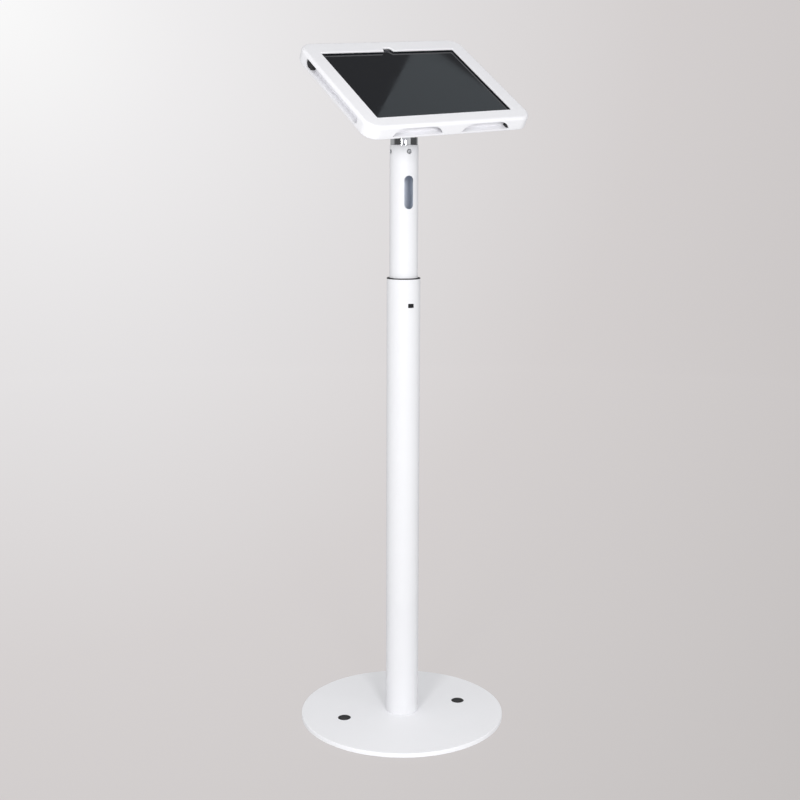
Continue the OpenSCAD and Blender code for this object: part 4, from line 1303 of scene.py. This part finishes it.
def make_sweep():
    """A pale floor that curves up into a wall all round."""
    bpy.ops.object.select_all(action="DESELECT")
    bpy.ops.mesh.primitive_circle_add(vertices=ROOM_SIDES, radius=FLOOR_R - CURVE_R, fill_type="NGON")
    floor = bpy.context.object
    floor.name = "studio_sweep"
    open_mesh(floor, "EDGE")
    bpy.ops.mesh.select_non_manifold()
    last_r, last_z = FLOOR_R - CURVE_R, 0.0
    turns = [QUARTER * (i + 1) / CURVE_STEPS for i in range(CURVE_STEPS)]
    rise = [(last_r + CURVE_R * math.sin(turn), CURVE_R - CURVE_R * math.cos(turn)) for turn in turns]
    for radius, height in [*rise, (FLOOR_R, WALL_H)]:
        bpy.ops.mesh.extrude_region_move(TRANSFORM_OT_translate={"value": (0, 0, height - last_z)})
        ratio = radius / last_r
        bpy.ops.transform.resize(value=(ratio, ratio, 1), center_override=(0, 0, 0))
        last_r, last_z = radius, height
    bpy.ops.mesh.delete(type="ONLY_FACE")
    close_mesh()
    bpy.ops.object.shade_smooth()
    floor.data.materials.append(sweep_finish())


def fill_or_gleam(tree, path, fill, gleam):
    """The strength of a light as fill, and its weaker strength in a mirror."""
    less = add_math(tree, "SUBTRACT", gleam, fill)
    return add_math(tree, "ADD", add_math(tree, "MULTIPLY", path.outputs["Is Glossy Ray"], less), fill)


def sweep_finish():
    """Paper that glows as fill light, with tones that fade from a bright spot.

    The tones are painted by the direction from TONES_FROM, which is the place of the photo's camera.
    They stay where they are in other views.
    """
    finish = Finish("studio_paper", PAPER_ROUGH)
    finish.shader.inputs["Base Color"].default_value = (PAPER_SHADE, PAPER_SHADE, PAPER_SHADE, 1)
    tree = finish.tree
    way = add_vector(tree, "NORMALIZE", add_vector(tree, "SUBTRACT", finish.place, TONES_FROM))
    lean = add_vector(tree, "DOT_PRODUCT", way, BRIGHT_WAY)
    tones = tree.nodes.new("ShaderNodeValToRGB")
    tree.links.new(add_math(tree, "ARCCOSINE", lean, 0.0), tones.inputs["Fac"])
    stops = tones.color_ramp.elements
    stops.remove(stops[1])
    for position, tone in PAPER_TONES:
        stop = stops[0] if position == 0 else stops.new(position)
        stop.position = position
        stop.color = (*tone, 1)
    path = tree.nodes.new("ShaderNodeLightPath")
    from_camera = path.outputs["Is Camera Ray"]
    finish.set("Emission Color", add_mix(tree, from_camera, WHITE, tones.outputs["Color"]))
    seen = add_math(tree, "MULTIPLY", from_camera, 1 - PAPER_FILL)
    gleam = add_range(tree, lean, *BACK_LEAN, PAPER_GLEAM, BACK_GLEAM)
    strength = fill_or_gleam(tree, path, PAPER_FILL, gleam)
    finish.set("Emission Strength", add_math(tree, "ADD", seen, strength))
    return finish.material


def make_air():
    """Even light from above, which mirrors only faintly."""
    world = bpy.data.worlds.new("studio_air")
    world.use_nodes = True
    tree = world.node_tree
    path = tree.nodes.new("ShaderNodeLightPath")
    background = tree.nodes["Background"]
    background.inputs["Color"].default_value = (*WHITE, 1)
    tree.links.new(fill_or_gleam(tree, path, SKY_FILL, SKY_GLEAM), background.inputs["Strength"])
    bpy.context.scene.world = world


def add_softbox(name, place, aim, size, power):
    """A soft light of a given width and height that looks at a point."""
    data = bpy.data.lights.new(name, "AREA")
    data.shape = "RECTANGLE"
    data.size, data.size_y = size
    data.energy = power
    light = bpy.data.objects.new(name, data)
    bpy.context.scene.collection.objects.link(light)
    light.location = place
    light.rotation_euler = (Vector(aim) - Vector(place)).to_track_quat("-Z", "Y").to_euler()
    light.visible_camera = False


def add_ceiling_card(middle, size, turn, strength):
    """A dim card overhead that the screen mirrors."""
    bpy.ops.object.select_all(action="DESELECT")
    bpy.ops.mesh.primitive_plane_add(size=1, location=middle, rotation=(2 * QUARTER, 0, turn))
    card = bpy.context.object
    card.name = "ceiling_card"
    card.scale = (*size, 1)
    bpy.ops.object.transform_apply(location=True, rotation=True, scale=True)
    finish = Finish("card_glow", PAPER_ROUGH)
    finish.shader.inputs["Base Color"].default_value = (0, 0, 0, 1)
    finish.shader.inputs["Emission Color"].default_value = CARD_TONE
    finish.shader.inputs["Emission Strength"].default_value = strength
    card.data.materials.append(finish.material)


make_sweep()
add_softbox("softbox_right", place=(0.81, -2.47, 1.12), aim=(0, 0, 1.10), size=(1.5, 0.9), power=2.5)
add_softbox("key_left", place=(-1.50, -1.87, 1.3), aim=KEY_AIM, size=KEY_SIZE, power=18.5)
add_softbox("key_right", place=(-0.29, -2.38, 1.3), aim=KEY_AIM, size=KEY_SIZE, power=19.5)
add_ceiling_card(middle=(1.244, 0.798, 3.2), size=(0.66, 0.55), turn=math.radians(-29.2), strength=0.46)
make_air()
bpy.context.scene.view_settings.view_transform = "Standard"


# Camera

CAMERA_AZIMUTH = -0.3622
CAMERA_DISTANCE = 2.2562
CAMERA_HEIGHT = 1.0040
CAMERA_TURN = 0.0025
CAMERA_PITCH = 0.1746
CAMERA_ROLL = 0.0036
CAMERA_LENS = 56.59


def make_camera():
    """A camera that stands and looks as the photo's camera did."""
    data = bpy.data.cameras.new("photo_camera")
    data.lens = CAMERA_LENS
    camera = bpy.data.objects.new("photo_camera", data)
    bpy.context.scene.collection.objects.link(camera)
    camera.location = (
        CAMERA_DISTANCE * math.sin(CAMERA_AZIMUTH),
        -CAMERA_DISTANCE * math.cos(CAMERA_AZIMUTH),
        CAMERA_HEIGHT,
    )
    heading = -CAMERA_AZIMUTH - CAMERA_TURN
    forward = Vector((
        math.cos(CAMERA_PITCH) * math.sin(heading),
        math.cos(CAMERA_PITCH) * math.cos(heading),
        -math.sin(CAMERA_PITCH),
    ))
    level = forward.cross(Vector((0, 0, 1))).normalized()
    upright = level.cross(forward)
    right = level * math.cos(CAMERA_ROLL) + upright * math.sin(CAMERA_ROLL)
    up = upright * math.cos(CAMERA_ROLL) - level * math.sin(CAMERA_ROLL)
    turn = Matrix((right, up, -forward)).transposed()
    camera.rotation_euler = turn.to_euler()
    bpy.context.scene.camera = camera


make_camera()
